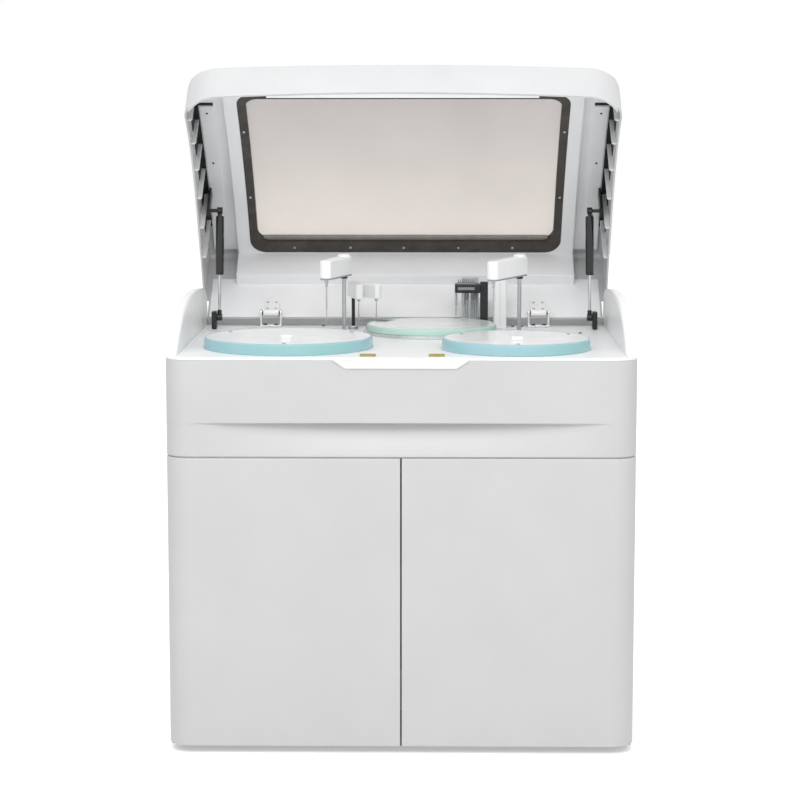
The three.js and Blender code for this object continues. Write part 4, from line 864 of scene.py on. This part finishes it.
for n, (nx, ny) in enumerate(nozzles):
    spout = turned("wash_nozzle_%d" % n, [(0, deck_z + 0.028), (0.0012, deck_z + 0.028),
        (0.0014, deck_z + 0.029), (0.0014, deck_z + 0.052), (0.0028, deck_z + 0.0535),
        (0.0030, deck_z + 0.056), (0.0030, head_foot + 0.001), (0, head_foot + 0.001)], nx, ny, 24)
    fitted(spout, "wash_head", "steel", steel)
low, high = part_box("tube_manifold")
foot, top = low.z, high.z
spine = block("comb_spine", (low.x + 0.0005, low.y + 0.0045, foot), (high.x - 0.0005, high.y, top - 0.004),
    0.0008)
fitted(spine, "cabinet", "light_alloy", grey_plastic, "tube_manifold")
hose_grey = finish_of("hose_grey", (196, 198, 200), (212, 214, 216), 0.35, 0.05, 40, grain=800, relief=0.05)
tubes = []
for i in range(8):
    tx = low.x + 0.0026 + (high.x - low.x - 0.0052) * i / 7
    tubes.append(rod("comb_tube", 0.0022, (tx, low.y + 0.0024, foot), (tx, low.y + 0.0024, top), 20,
        0.0003))
fitted(joined("comb_tubes", *tubes), "cabinet", "light_alloy", hose_grey)
for n, z in enumerate((foot + 0.012, (foot + top) / 2, top - 0.014)):
    clip = block("comb_clip_%d" % n, (low.x, low.y, z), (high.x, low.y + 0.0052, z + 0.005), 0.0006)
    fitted(clip, "cabinet", "light_alloy", hose_grey)
low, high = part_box("tube_cover")
x, y = middle(low, high)


def rounded_plan(lo_x, hi_x, lo_y, hi_y, r, z, steps=8):
    """A level outline with round corners."""
    ring = []
    for cx, cy, start in ((hi_x - r, hi_y - r, 0), (lo_x + r, hi_y - r, 90), (lo_x + r, lo_y + r, 180),
            (hi_x - r, lo_y + r, 270)):
        for i in range(steps + 1):
            a = radians(start + 90 * i / steps)
            ring.append((cx + r * cos(a), cy + r * sin(a), z))
    return ring


levels = [(0.0, low.z)] + shoulder(0.003, high.z, 3)
sleeve = swept("tube_sleeve", [rounded_plan(low.x + i, high.x - i, low.y + i, high.y - i, 0.005, z)
    for i, z in levels])
fitted(sleeve, "cabinet", "white_plastic", white_plastic, "tube_cover")
groove = block("tube_sleeve_seam", (x - 0.0004, low.y, low.z + 0.004),
    (x + 0.0004, low.y + 0.0006, high.z - 0.006), 0.0001)
fitted(groove, "cabinet", "white_plastic", grey_plastic)

# Lid shell: one white moulding under a crowned top, with a window opening, stiffening ribs inside
# its side walls and room for the hinges. It is drawn closed and swung open about the hinge pins.
open_turn = Matrix.Translation(hinge) @ Matrix.Rotation(radians(-54.5), 4, "X") @ Matrix.Translation(-hinge)
lid_front, lid_back, lid_half, lid_foot = 0.004, 0.666, 0.475, 0.842
lid_front_z, lid_back_z, lid_crown, lid_bow = 0.947, 1.096, 0.035, 0.016
lid_corner, lid_edge, lid_wall = 0.075, 0.016, 0.004


def on_lid(piece, slot, finish, *nodes):
    """Swings a piece that is drawn under the closed lid open, and fits it there."""
    piece.data.transform(open_turn)
    return fitted(piece, "lid", slot, finish, *nodes)


def lid_top(y):
    """Height of the lid's crowned top at a distance back from the front."""
    t = (y - lid_front) / (lid_back - lid_front)
    return lid_front_z + (lid_back_z - lid_front_z) * t + lid_crown * 4 * t * (1 - t)


def lid_form(name, inset, bottom):
    """The full form under the crowned top, moved in by the inset."""
    width, round_corner, edge = lid_half - inset, lid_corner - inset, lid_edge - inset
    places = [width - edge * s for s in (0, 0.03, 0.12, 0.28, 0.5, 0.75, 1)]
    places += [width - edge - (round_corner - edge) * s for s in (0.15, 0.3, 0.45, 0.6, 0.75, 0.88, 1)]
    places += [(width - round_corner) * s for s in (0.9, 0.8, 0.7, 0.6, 0.5, 0.4, 0.3, 0.2, 0.1)]
    rings = []
    for x in [-x for x in places] + [0] + places[::-1]:
        from_corner = max(0, abs(x) - (width - round_corner))
        from_edge = max(0, abs(x) - (width - edge))
        front = lid_front + inset + lid_bow * (x / lid_half) ** 2
        front += round_corner - sqrt(max(0, round_corner ** 2 - from_corner ** 2))
        rear = lid_back - inset
        drop = inset + edge - sqrt(max(0, edge ** 2 - from_edge ** 2))
        points = [(front, bottom), (rear, bottom)]
        points += [(rear - out, z) for out, z in shoulder(edge, lid_top(rear - edge) - drop, 6)]
        for i in range(1, 24):
            y = rear - edge + (front + edge * 2 - rear) * i / 24
            points.append((y, lid_top(y) - drop))
        points += [(front + out, z) for out, z in reversed(shoulder(edge, lid_top(front + edge) - drop, 6))]
        rings.append([(x, front_y + y, z) for y, z in points])
    return swept(name, rings)


def window_plug(name, margin, foot=0.0, low=lid_foot, high=1.16):
    """An upright block with round corners, as wide as the window less the margin."""
    ring = rounded_plan(margin - 0.369, 0.369 - margin, front_y + 0.088 + margin,
        front_y + 0.629 - margin - foot, 0.038 - margin / 2, 0, 12)
    return swept(name, [[(x, y, z) for x, y, _ in ring] for z in (low, high)])


# The shell's white is painted shade: it is set darker than the white of the other mouldings, its own ribs among
# them.
shaded_lid_white = finish_of("shaded_lid_white", (199, 200, 201), (205, 206, 207), 0.36, 0.05, 7, grain=1300,
    relief=0.08)
shell = cut(lid_form("lid_skin", 0, lid_foot), lid_form("inside", lid_wall, 0.82))
heel_room, hinge_x = cheek_heel + 0.005, 0.312
for sign in (-1, 1):
    line = [(-0.02, lid_foot - 0.01), (-0.02, lid_foot), (cheek_start, lid_foot)]
    for i in range(1, 30):
        y = cheek_start + (hinge_back - cheek_start) * (i / 30) ** 1.5
        line.append((y, deck_z + arch(y) + 0.004))
    for i in range(13):
        a = pi / 2 * (1 - i / 12)
        line.append((hinge_back + heel_room * cos(a), hinge.z + heel_room * sin(a)))
    line.append((hinge_back + heel_room, lid_foot - 0.01))
    cut(shell, swept("cheek_room", [[(sign * x, front_y + y, z) for y, z in line] for x in (0.462, 0.51)]))
cut(shell, block("back_edge", (-0.6, hinge.y - cheek_heel, 0.80), (0.6, front_y + 0.70, 0.866), 0.0001))
cut(shell, window_plug("view", 0.009))
for sign in (-1, 1):
    cut(shell, block("hinge_room", (sign * hinge_x - 0.028, hinge.y, 0.84),
        (sign * hinge_x + 0.028, front_y + 0.70, 0.879), 0.0001))
on_lid(smoothed(shell, 30), "white_plastic", shaded_lid_white, "lid_shell")
rib_first, rib_last, rib_thick = 0.110, 0.540, 0.004
for side, sign in (("left", -1), ("right", 1)):
    for n in range(6):
        y = rib_first + (rib_last - rib_first) * n / 5
        foot, top = deck_z + arch(y + rib_thick) + 0.008, lid_top(y) - 0.003
        outline = [(0.4605, foot + 0.004), (0.4625, foot), (0.4725, foot), (0.4725, top - 0.009),
            (0.4690, top - 0.004), (0.4605, top)]
        rib = swept("%s_rib_%d" % (side, n), [[(sign * x, front_y + depth, z) for x, z in outline]
            for depth in (y, y + rib_thick)])
        smoothed(on_lid(rounded_edges(rib, 0.0006, 2, 50), "white_plastic", white_plastic))

# Liner: a thinner pale moulding inside the shell. It frames the window, steps down to a gutter at
# each side, and carries the channels and studs of the gas struts. Near-black sheets along the sides are painted
# shade.
liner_plastic = finish_of("liner_plastic", (238, 239, 241), (244, 245, 246), 0.5, 0.05, 8, grain=1300,
    relief=0.2)


def band(name, x0, x1, y0, y1, depth0, depth1, steps=16, soft=0.0):
    """A strip that follows the crowned top, between two depths below it."""
    ys = [y0 + (y1 - y0) * i / steps for i in range(steps + 1)]
    x0, x1 = min(x0, x1), max(x0, x1)
    rings = [[(x0, front_y + y, lid_top(y) - depth1), (x1, front_y + y, lid_top(y) - depth1),
        (x1, front_y + y, lid_top(y) - depth0), (x0, front_y + y, lid_top(y) - depth0)] for y in ys]
    strip = swept(name, rings, 30)
    return smoothed(rounded_edges(strip, soft, 2, 40), 30) if soft else strip


side_painted_shade = finish_of("side_painted_shade", (30, 31, 34), (44, 45, 48), 0.8, 0.08, 50, grain=1800, relief=0.5)
liner_half, liner_front, liner_foot, gutter_depth, sheet = 0.400, 0.058, 0.030, 0.010, 0.003
liner_back = lid_back - 0.0043
shelf_y = liner_back - 0.029
frame_band = band("liner_frame", -liner_half, liner_half, liner_front, shelf_y, liner_foot - sheet,
    liner_foot)
cut(frame_band, window_plug("view", -0.0003))
rounded_edges(frame_band, 0.0009, 2, 50)
pieces_of_liner = [frame_band]
pieces_of_liner.append(block("liner_shelf", (-liner_half, front_y + shelf_y - 0.0025, 0.983),
    (liner_half, front_y + liner_back, lid_top(shelf_y) - liner_foot + sheet), 0.003, 3))
pieces_of_liner.append(block("liner_back", (-0.4577, front_y + liner_back - sheet, 0.866),
    (0.4577, front_y + liner_back, 1.003), 0.0009))
pieces_of_liner.append(band("liner_front", -liner_half, liner_half, liner_front, liner_front + sheet,
    gutter_depth, liner_foot, 2, 0.0008))
for sign in (-1, 1):
    inner, outer = sign * (liner_half - sheet), sign * liner_half
    pieces_of_liner.append(band("liner_wall", inner, outer, liner_front, shelf_y, gutter_depth, liner_foot,
        16, 0.0012))
    pieces_of_liner.append(band("liner_gutter", inner, sign * 0.458, liner_front, shelf_y, gutter_depth,
        gutter_depth + sheet, 16, 0.0008))
    pieces_of_liner.append(band("liner_channel", sign * 0.424, sign * 0.456, 0.146, 0.540, gutter_depth,
        0.016, 16, 0.0014))
liner = joined("lid_inner_skin", *pieces_of_liner)
on_lid(smoothed(liner, 30), "liner_plastic", liner_plastic, "lid_liner")
shade_front, shade_back, stud_back, stud_z = 0.134, 0.560, 0.443, 0.991
for side, sign in (("left", -1), ("right", 1)):
    # Near-black sheets on each side wall and across the gap to the gutter: painted shade for the deep gap behind
    # the ribs.
    shade_sheet = band(side + "_side_painted_shade", sign * 0.4694, sign * 0.4711, shade_front, shade_back, 0.012, 0.056, 20)
    gap = band("gap", sign * 0.4566, sign * 0.4700, shade_front, shade_back, 0.0098, 0.0114, 20)
    on_lid(joined(shade_sheet.name, shade_sheet, gap), "liner_plastic", side_painted_shade)
    # A dark sheet at the front end of each channel: painted shade for the slot there.
    slot = band(side + "_channel_slot", sign * 0.424, sign * 0.4600, shade_front, 0.144, 0.0126, 0.0140, 2,
        0.0004)
    on_lid(slot, "liner_plastic", side_painted_shade)
    for n, y in enumerate((0.170, 0.345, 0.520)):
        screw = cap_screw("%s_channel_screw_%d" % (side, n), (0.0026, 0.0020, 0.0009),
            (0, -0.0010, -0.0015, -0.0008), sign * 0.440, front_y + y, 20)
        screw.data.transform(Matrix.Translation((0, 0, lid_top(y) - 0.0158)))
        on_lid(screw, "liner_plastic", satin_black)
    stud_y = front_y + stud_back
    mount = side_block(side + "_stud_mount", sign, (0.450, stud_y - 0.014, stud_z - 0.008),
        (0.456, stud_y + 0.014, lid_top(stud_back) - 0.0125), 0.0012)
    on_lid(mount, "liner_plastic", satin_black)
    stud = rod(side + "_strut_stud", 0.004, (sign * 0.4333, stud_y, stud_z),
        (sign * 0.4555, stud_y, stud_z), 32)
    on_lid(stud, "liner_plastic", satin_black)

# Window: a smoked clear sheet behind the opening, held by a dark rubber gasket that small screws
# press on from inside. Painted light and shade grade its colour: warm and pale low down, greyer higher up towards
# the front.
smoked = finish_of("smoked_sheet", (244, 241, 239), (252, 249, 247), 0.2, 0.04, 2.2, grain=400,
    relief=0.015)
socket(smoked, "Transmission Weight", 0.85)
socket(smoked, "IOR", 1.35)
tree = smoked.node_tree
place = next(n for n in tree.nodes if n.type == "TEX_COORD")
shader = tree.nodes["Principled BSDF"]
drift = shader.inputs["Base Color"].links[0].from_socket
# Painted light and shade by height: the colour is multiplied by a ramp from warm and pale low down to grey higher
# up.
axes = tree.nodes.new("ShaderNodeSeparateXYZ")
tree.links.new(place.outputs["Object"], axes.inputs[0])
shade_ramp = tree.nodes.new("ShaderNodeValToRGB")
lift = tree.nodes.new("ShaderNodeMapRange")
lift.inputs["From Min"].default_value = 1.06
lift.inputs["From Max"].default_value = 1.36
tree.links.new(axes.outputs["Z"], lift.inputs["Value"])
tree.links.new(lift.outputs["Result"], shade_ramp.inputs["Fac"])
painted_light_low, painted_shade_high = linear(255, 251, 246), linear(220, 216, 216)
shade_ramp.color_ramp.elements[0].color = painted_light_low
shade_ramp.color_ramp.elements[1].color = painted_shade_high
mixed = tree.nodes.new("ShaderNodeMix")
mixed.data_type = "RGBA"
mixed.blend_type = "MULTIPLY"
mixed.inputs["Factor"].default_value = 1.0
tree.links.new(drift, mixed.inputs[6])
tree.links.new(shade_ramp.outputs["Color"], mixed.inputs[7])
tree.links.new(mixed.outputs[2], shader.inputs["Base Color"])
pane_half = 0.376
pane = band("window_sheet", -pane_half, pane_half, liner_front, 0.628, 0.0046, 0.0086, 30)
outline = rounded_plan(-pane_half, pane_half, front_y + 0.0877, front_y + 0.6293, 0.038, 0, 12)
cut(pane, swept("outline", [[(x, y, z) for x, y, _ in outline] for z in (0.85, 1.16)]), "INTERSECT")
on_lid(smoothed(pane, 30), "window_pane", smoked, "lid_window")
gasket_rubber = finish_of("gasket_rubber", (56, 53, 49), (76, 71, 66), 0.62, 0.07, 30, grain=1500,
    relief=0.3)
gasket = band("window_seal", -0.369, 0.369, liner_front, 0.629, 0.0089, 0.0289, 30)
cut(gasket, window_plug("outline", 0.0), "INTERSECT")
cut(gasket, window_plug("view", 0.018, 0.014))
rounded_edges(gasket, 0.0016, 2, 50)
on_lid(smoothed(gasket, 40), "window_gasket", gasket_rubber, "lid_gasket")
spots = [(x, 0.614) for x in (-0.264, -0.131, -0.004, 0.126, 0.255)]
spots += [(sign * 0.3605, y) for sign in (-1, 1) for y in (0.225, 0.450)]
for n, (x, y) in enumerate(spots):
    screw = turned("window_screw_%d" % n, [(0, 0.0), (0.0030, 0.0), (0.0030, -0.0008), (0.0022, -0.0014),
        (0, -0.0016)], x, front_y + y, 20)
    screw.data.transform(Matrix.Translation((0, 0, lid_top(y) - 0.0288)))
    on_lid(screw, "window_gasket", steel)
sill_grey = finish_of("sill_grey", (140, 137, 132), (158, 155, 150), 0.45, 0.05, 30, grain=1200,
    relief=0.15)
sill = band("window_sill", -0.338, 0.338, 0.5885, 0.5972, 0.0091, 0.0190, 3, 0.0008)
on_lid(sill, "window_gasket", sill_grey)

# Grip strip: a pale moulded rail clipped along the inside of the lid's front edge, with two white
# latch tongues.
strip_half, strip_front, strip_back = 0.292, 0.0086, 0.020
strip_foot, strip_top, chamfer = 0.8428, 0.849, 0.0006
rings = []
for i in range(25):
    x = strip_half * (i - 12) / 12
    front = strip_front + lid_bow * (x / lid_half) ** 2
    section = [(front + chamfer, strip_foot), (strip_back - 0.0008, strip_foot),
        (strip_back, strip_foot + 0.0008), (strip_back, strip_top - 0.0008), (strip_back - 0.0008, strip_top),
        (front + chamfer, strip_top), (front, strip_top - chamfer), (front, strip_foot + chamfer)]
    rings.append([(x, front_y + y, z) for y, z in section])
on_lid(swept("grip_rail", rings), "grey_plastic", liner_plastic, "lid_grip_strip")
for side, x in (("left", -0.176), ("right", 0.178)):
    tongue = block(side + "_latch_tongue", (x - 0.011, front_y + 0.0135, lid_foot),
        (x + 0.011, front_y + 0.0190, 0.8465), 0.0007)
    on_lid(tongue, "grey_plastic", white_plastic)


# Hinges: a cast ear bracket on the deck's ledge holds a pin, and a stamped leaf with a rolled
# knuckle is screwed to the lid. The bracket is zinc plated, the leaf painted white.
def sleeve_of(name, half, end_radius, radius, chamfer):
    """A short tube on a pin, lying along X about the origin."""
    tube = turned(name, [(0.0044, -half), (end_radius, -half), (radius, chamfer - half),
        (radius, half - chamfer), (end_radius, half), (0.0044, half)], 0, 0, 32)
    tube.data.transform(Matrix.Rotation(pi / 2, 4, "Y"))
    return tube


leaf_paint = finish_of("leaf_paint", (236, 237, 238), (243, 244, 244), 0.3, 0.05, 20, grain=1000,
    relief=0.08)
bright_zinc = finish_of("bright_zinc", (222, 223, 225), (236, 237, 238), 0.3, 0.06, 60, metallic=0.6,
    grain=900, relief=0.05)
pin_radius, ear_radius, ear_sheet, bracket_half, leaf_half = 0.004, 0.008, 0.004, 0.025, 0.018
leaf_back = front_y + liner_back - sheet - 0.0003
for side, sign in (("left", -1), ("right", 1)):
    x = sign * hinge_x
    y, z, on_deck = hinge.y, hinge.z, deck_z + 0.0003
    base_top = on_deck + ear_sheet
    ears = [block("base", (x - bracket_half, y - 0.016, on_deck),
        (x + bracket_half, y + ear_radius, base_top), 0.0008)]
    for end in (x - bracket_half, x + bracket_half - ear_sheet):
        outline = [(y - ear_radius, on_deck), (y + ear_radius, on_deck), (y + ear_radius, z)]
        outline += [(y + ear_radius * cos(a), z + ear_radius * sin(a))
            for a in (pi * i / 12 for i in range(1, 12))]
        outline += [(y - ear_radius, z)]
        ear = swept("ear", [[(across, *point) for point in outline] for across in (end, end + ear_sheet)])
        ears.append(rounded_edges(ear, 0.0005, 2, 50))
    pin = rod(side + "_hinge_pin", pin_radius, (x - 0.0255, y, z), (x + 0.0255, y, z), 32)
    fitted(pin, "cabinet", "light_alloy", satin_black)
    bracket = joined(side + "_hinge_ears", *ears)
    fitted(smoothed(bracket), "cabinet", "light_alloy", bright_zinc, side + "_hinge_bracket")
    for n, dx in enumerate((-0.0125, 0.0125)):
        screw = cap_screw("%s_hinge_screw_%d" % (side, n), (0.0046, 0.0040, 0.0016),
            (base_top, base_top + 0.0022, base_top + 0.0032, base_top + 0.0010), x + dx, y - 0.011)
        fitted(screw, "cabinet", "light_alloy", satin_black)
    parts = [sleeve_of("knuckle", leaf_half, 0.0075, 0.008, 0.0005)]
    parts[0].data.transform(Matrix.Translation((x, y, z)))
    parts.append(block("leaf", (x - leaf_half, leaf_back - 0.004, z), (x + leaf_half, leaf_back, z + 0.052),
        0.0010))
    parts.append(block("web", (x - leaf_half, y, z + 0.0045), (x + leaf_half, leaf_back, z + 0.0080),
        0.0006))
    leaf = joined(side + "_hinge_plate", *parts)
    on_lid(smoothed(leaf), "light_alloy", leaf_paint, side + "_hinge_leaf")
    for n, (dx, dz) in enumerate(((-0.010, 0.020), (0.010, 0.020), (-0.010, 0.042), (0.010, 0.042))):
        screw = cap_screw("%s_leaf_screw_%d" % (side, n), (0.0030, 0.0022, 0.0010),
            (0, 0.0006, 0.0012, 0.0006), steps=20)
        screw.data.transform(Matrix.Translation((x + dx, leaf_back - 0.0039, z + dz))
            @ Matrix.Rotation(pi / 2, 4, "X"))
        on_lid(screw, "light_alloy", zinc_plate)

# Gas struts: a polished rod slides in a black painted cylinder. Each ends in an eye on a pin, the
# lower one on a black bracket screwed to the deck's ledge.
strut_x, strut_back, base_z, strut_length = 0.427, 0.590, 0.865, 0.24678
open_stud_back, open_stud_z = 0.62830, 1.10879
lean = atan2(open_stud_back - strut_back, open_stud_z - base_z)
base_y = front_y + strut_back
gloss_black = finish_of("gloss_black", (14, 14, 16), (22, 22, 24), 0.16, 0.04, 30, grain=900, relief=0.04)
for side, sign in (("left", -1), ("right", 1)):
    stand = Matrix.Translation((sign * strut_x, base_y, base_z)) @ Matrix.Rotation(-lean, 4, "X")
    bracket = side_block(side + "_strut_foot", sign, (0.4333, base_y - 0.014, deck_z + 0.0003),
        (0.4443, base_y + 0.014, base_z + 0.014), 0.0022, 3)
    pin = rod("pin", pin_radius, (sign * 0.4210, base_y, base_z), (sign * 0.4360, base_y, base_z), 32)
    fitted(joined(bracket.name, bracket, pin), "cabinet", "black_metal", satin_black,
        side + "_strut_bracket")
    eye = sleeve_of("eye", 0.006, 0.0074, 0.008, 0.0006)
    lower_eye = copied("lower_eye", eye, stand)
    bar = rod(side + "_strut_bar", 0.0032, (0, 0, 0.0062), (0, 0, 0.151))
    bar.data.transform(stand)
    socket_end = rod("socket_end", 0.0050, (0, 0, 0.0058), (0, 0, 0.017), 24, 0.0008)
    socket_end.data.transform(stand)
    fitted(bar, side + "_strut_rod", "steel", steel, side + "_strut_rod")
    fitted(joined(side + "_strut_lower_end", lower_eye, socket_end), side + "_strut_rod", "steel",
        satin_black)
    tube_top = strut_length - 0.004
    tube = turned("tube",
        [(radius, tube_top - down) for radius, down in ((0.0036, 0.145), (0.0078, 0.145), (0.0092, 0.1435),
        (0.0095, 0.141), (0.0095, 0.0115), (0.0088, 0.0092), (0.0070, 0.0082), (0.0042, 0.008),
        (0.0040, 0.0030), (0, 0.0030), (0, 0.016), (0.0036, 0.016))], 0, 0, 32)
    eye.data.transform(Matrix.Translation((0, 0, strut_length)))
    barrel = joined(side + "_strut_barrel", tube, eye)
    barrel.data.transform(stand)
    fitted(smoothed(barrel), side + "_strut_cylinder", "black_metal", gloss_black, side + "_strut_cylinder")

# Instrument plate: 4 mm zinc-plated sheet across the cabinet. The drives are screwed to it from
# above, four low heads round each.
low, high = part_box("instrument_plate")
plate = block("drive_plate", low, high, 0.0008)
for x, y, radius in discs.values():
    for turn in (45, 135, 225, 315):
        hx, hy = polar(x, y, 0.046, turn)
        screw = turned("plate_screw", [(0, high.z - 0.0001), (0.004, high.z - 0.0001),
            (0.004, high.z + 0.0001), (0.0032, high.z + 0.0002), (0, high.z + 0.0002)], hx, hy, 16)
        plate = joined("drive_plate", plate, screw)
fitted(smoothed(plate), "cabinet", "light_alloy", zinc_plate, "instrument_plate")

# Power supply: a folded zinc-plated steel case screwed down on the base frame, with vent slots and
# a rocker switch in its front.
low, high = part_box("power_supply")
supply = block("supply_case", low, high, 0.0016, 3)
vents = []
for n in range(12):
    x = low.x + 0.030 + 0.0165 * n
    vents.append(block("vent", (x, low.y - past, low.z + 0.040),
        (x + 0.0050, low.y + 0.004, high.z - 0.050), 0.0020, 3))
cut(supply, joined("vents", *vents))
cut(supply, block("window", (low.x + 0.0315, low.y - 0.002, high.z - 0.0365),
    (low.x + 0.0565, low.y + 0.006, high.z - 0.0175), 0.0006))
fitted(smoothed(supply), "cabinet", "light_alloy", zinc_plate, "power_supply")
rocker = block("supply_switch", (low.x + 0.032, low.y, high.z - 0.036),
    (low.x + 0.056, low.y + 0.004, high.z - 0.018), 0.0006)
fitted(rocker, "cabinet", "light_alloy", satin_black)

# Water tank: a blow-moulded milky can with two shallow bands round it and a ribbed screw cap. It
# stands in the base frame.
low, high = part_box("water_tank")
milky = finish_of("milky_plastic", (228, 231, 233), (238, 240, 241), 0.4, 0.05, 12, grain=900, relief=0.1)
socket(milky, "Subsurface Weight", 0.15)
tank_top = high.z - 0.028
levels = [(0.012 * (1 - sin(a)), low.z + 0.012 * (1 - cos(a))) for a in quarter(4)]
band_section = ((0.0, -0.012), (0.0008, -0.009), (0.0016, -0.004), (0.0016, 0.004), (0.0008, 0.009), (0.0, 0.012))
for band_at in (0.090, 0.200):
    levels += [(depth, low.z + band_at + up) for depth, up in band_section]
levels += shoulder(0.014, tank_top, 4)
tank = swept("tank_body", [rounded_plan(low.x + i, high.x - i, low.y + i, high.y - i, 0.024 - i / 2, z)
    for i, z in levels])
fitted(tank, "cabinet", "tank_plastic", milky, "water_tank")
tx, ty = middle(low, high)
cap = [turned("tank_cap", [(0, tank_top - 0.001), (0.018, tank_top - 0.001), (0.018, tank_top + 0.006),
    (0.0232, tank_top + 0.007), (0.0232, high.z - 0.003), (0.0212, high.z), (0, high.z)], tx, ty, 40)]
for n in range(24):
    x, y = tx + 0.0229 * cos(2 * pi * n / 24), ty + 0.0229 * sin(2 * pi * n / 24)
    cap.append(rod("grip", 0.0011, (x, y, tank_top + 0.008), (x, y, high.z - 0.003), 8, 0.0003))
fitted(smoothed(joined("tank_cap", *cap)), "cabinet", "tank_plastic", grey_plastic)

# Camera: set as the photograph was taken, from a little above the deck. Its place, aim and lens
# come from fitting the cabinet's edges to the picture.
pitch, yaw = 0.131152080, 0.0139160256
focal_pixels, picture_pixels, sensor = 2312.62671, 800, 36
sight = Vector((-sin(yaw) * cos(pitch), cos(yaw) * cos(pitch), -sin(pitch)))
at_work("OBJECT")
bpy.ops.object.camera_add(location=(0.0638785, front_y - 4.7256593, 1.3739530),
    rotation=sight.to_track_quat("-Z", "Y").to_euler())
camera = bpy.context.object
camera.data.sensor_width = sensor
camera.data.lens = focal_pixels / picture_pixels * sensor
camera.data.clip_end = 100
bpy.context.scene.camera = camera

# Studio: a white floor that keeps the shadow and glows a little for the camera, a white surround
# and four soft lamps, the strongest one overhead.
bpy.ops.mesh.primitive_plane_add(size=30, location=(0, 0, 0))
floor = bpy.context.object
floor.name = "floor"
floor_paint = finish_of("floor_paint", (240, 240, 240), (244, 244, 244), 0.35, 0.03, 2, relief=0.0)
tree = floor_paint.node_tree
rays = tree.nodes.new("ShaderNodeLightPath")
glow = tree.nodes.new("ShaderNodeEmission")
glow.inputs["Color"].default_value = (1, 1, 1, 1)
seen = tree.nodes.new("ShaderNodeMath")
seen.operation = "MULTIPLY"
floor_glow = 0.42
seen.inputs[1].default_value = floor_glow
tree.links.new(rays.outputs["Is Camera Ray"], seen.inputs[0])
tree.links.new(seen.outputs[0], glow.inputs["Strength"])
both = tree.nodes.new("ShaderNodeAddShader")
tree.links.new(tree.nodes["Principled BSDF"].outputs[0], both.inputs[0])
tree.links.new(glow.outputs[0], both.inputs[1])
tree.links.new(both.outputs[0], tree.nodes["Material Output"].inputs["Surface"])
floor.data.materials.append(floor_paint)

world = bpy.data.worlds.new("studio")
bpy.context.scene.world = world
world.use_nodes = True
tree = world.node_tree
for old in list(tree.nodes):
    tree.nodes.remove(old)
out = tree.nodes.new("ShaderNodeOutputWorld")
soft_light = tree.nodes.new("ShaderNodeBackground")
soft_light.inputs["Strength"].default_value = 0.80
surround = tree.nodes.new("ShaderNodeBackground")
surround.inputs["Strength"].default_value = 1.0
for background in (soft_light, surround):
    background.inputs["Color"].default_value = (1, 1, 1, 1)
rays = tree.nodes.new("ShaderNodeLightPath")
either, any_of = tree.nodes.new("ShaderNodeMath"), tree.nodes.new("ShaderNodeMath")
either.operation = any_of.operation = "MAXIMUM"
tree.links.new(rays.outputs["Is Camera Ray"], either.inputs[0])
tree.links.new(rays.outputs["Is Glossy Ray"], either.inputs[1])
tree.links.new(either.outputs[0], any_of.inputs[0])
tree.links.new(rays.outputs["Is Transmission Ray"], any_of.inputs[1])
mix = tree.nodes.new("ShaderNodeMixShader")
tree.links.new(any_of.outputs[0], mix.inputs[0])
tree.links.new(soft_light.outputs[0], mix.inputs[1])
tree.links.new(surround.outputs[0], mix.inputs[2])
tree.links.new(mix.outputs[0], out.inputs[0])
aim = Vector((0, 0, 0.9))
for where, size, power in (((-2.4, -3.2, 3.0), 2.5, 18), ((2.6, -3.0, 3.0), 2.5, 16),
        ((0.3, -6.2, 0.9), 4.0, 6), ((0, -2.2, 3.3), 2.4, 54)):
    bpy.ops.object.light_add(type="AREA", location=where)
    lamp = bpy.context.object
    lamp.data.size = size
    lamp.data.energy = power
    lamp.rotation_euler = (aim - Vector(where)).to_track_quat("-Z", "Y").to_euler()

bpy.context.scene.view_settings.view_transform = "Standard"
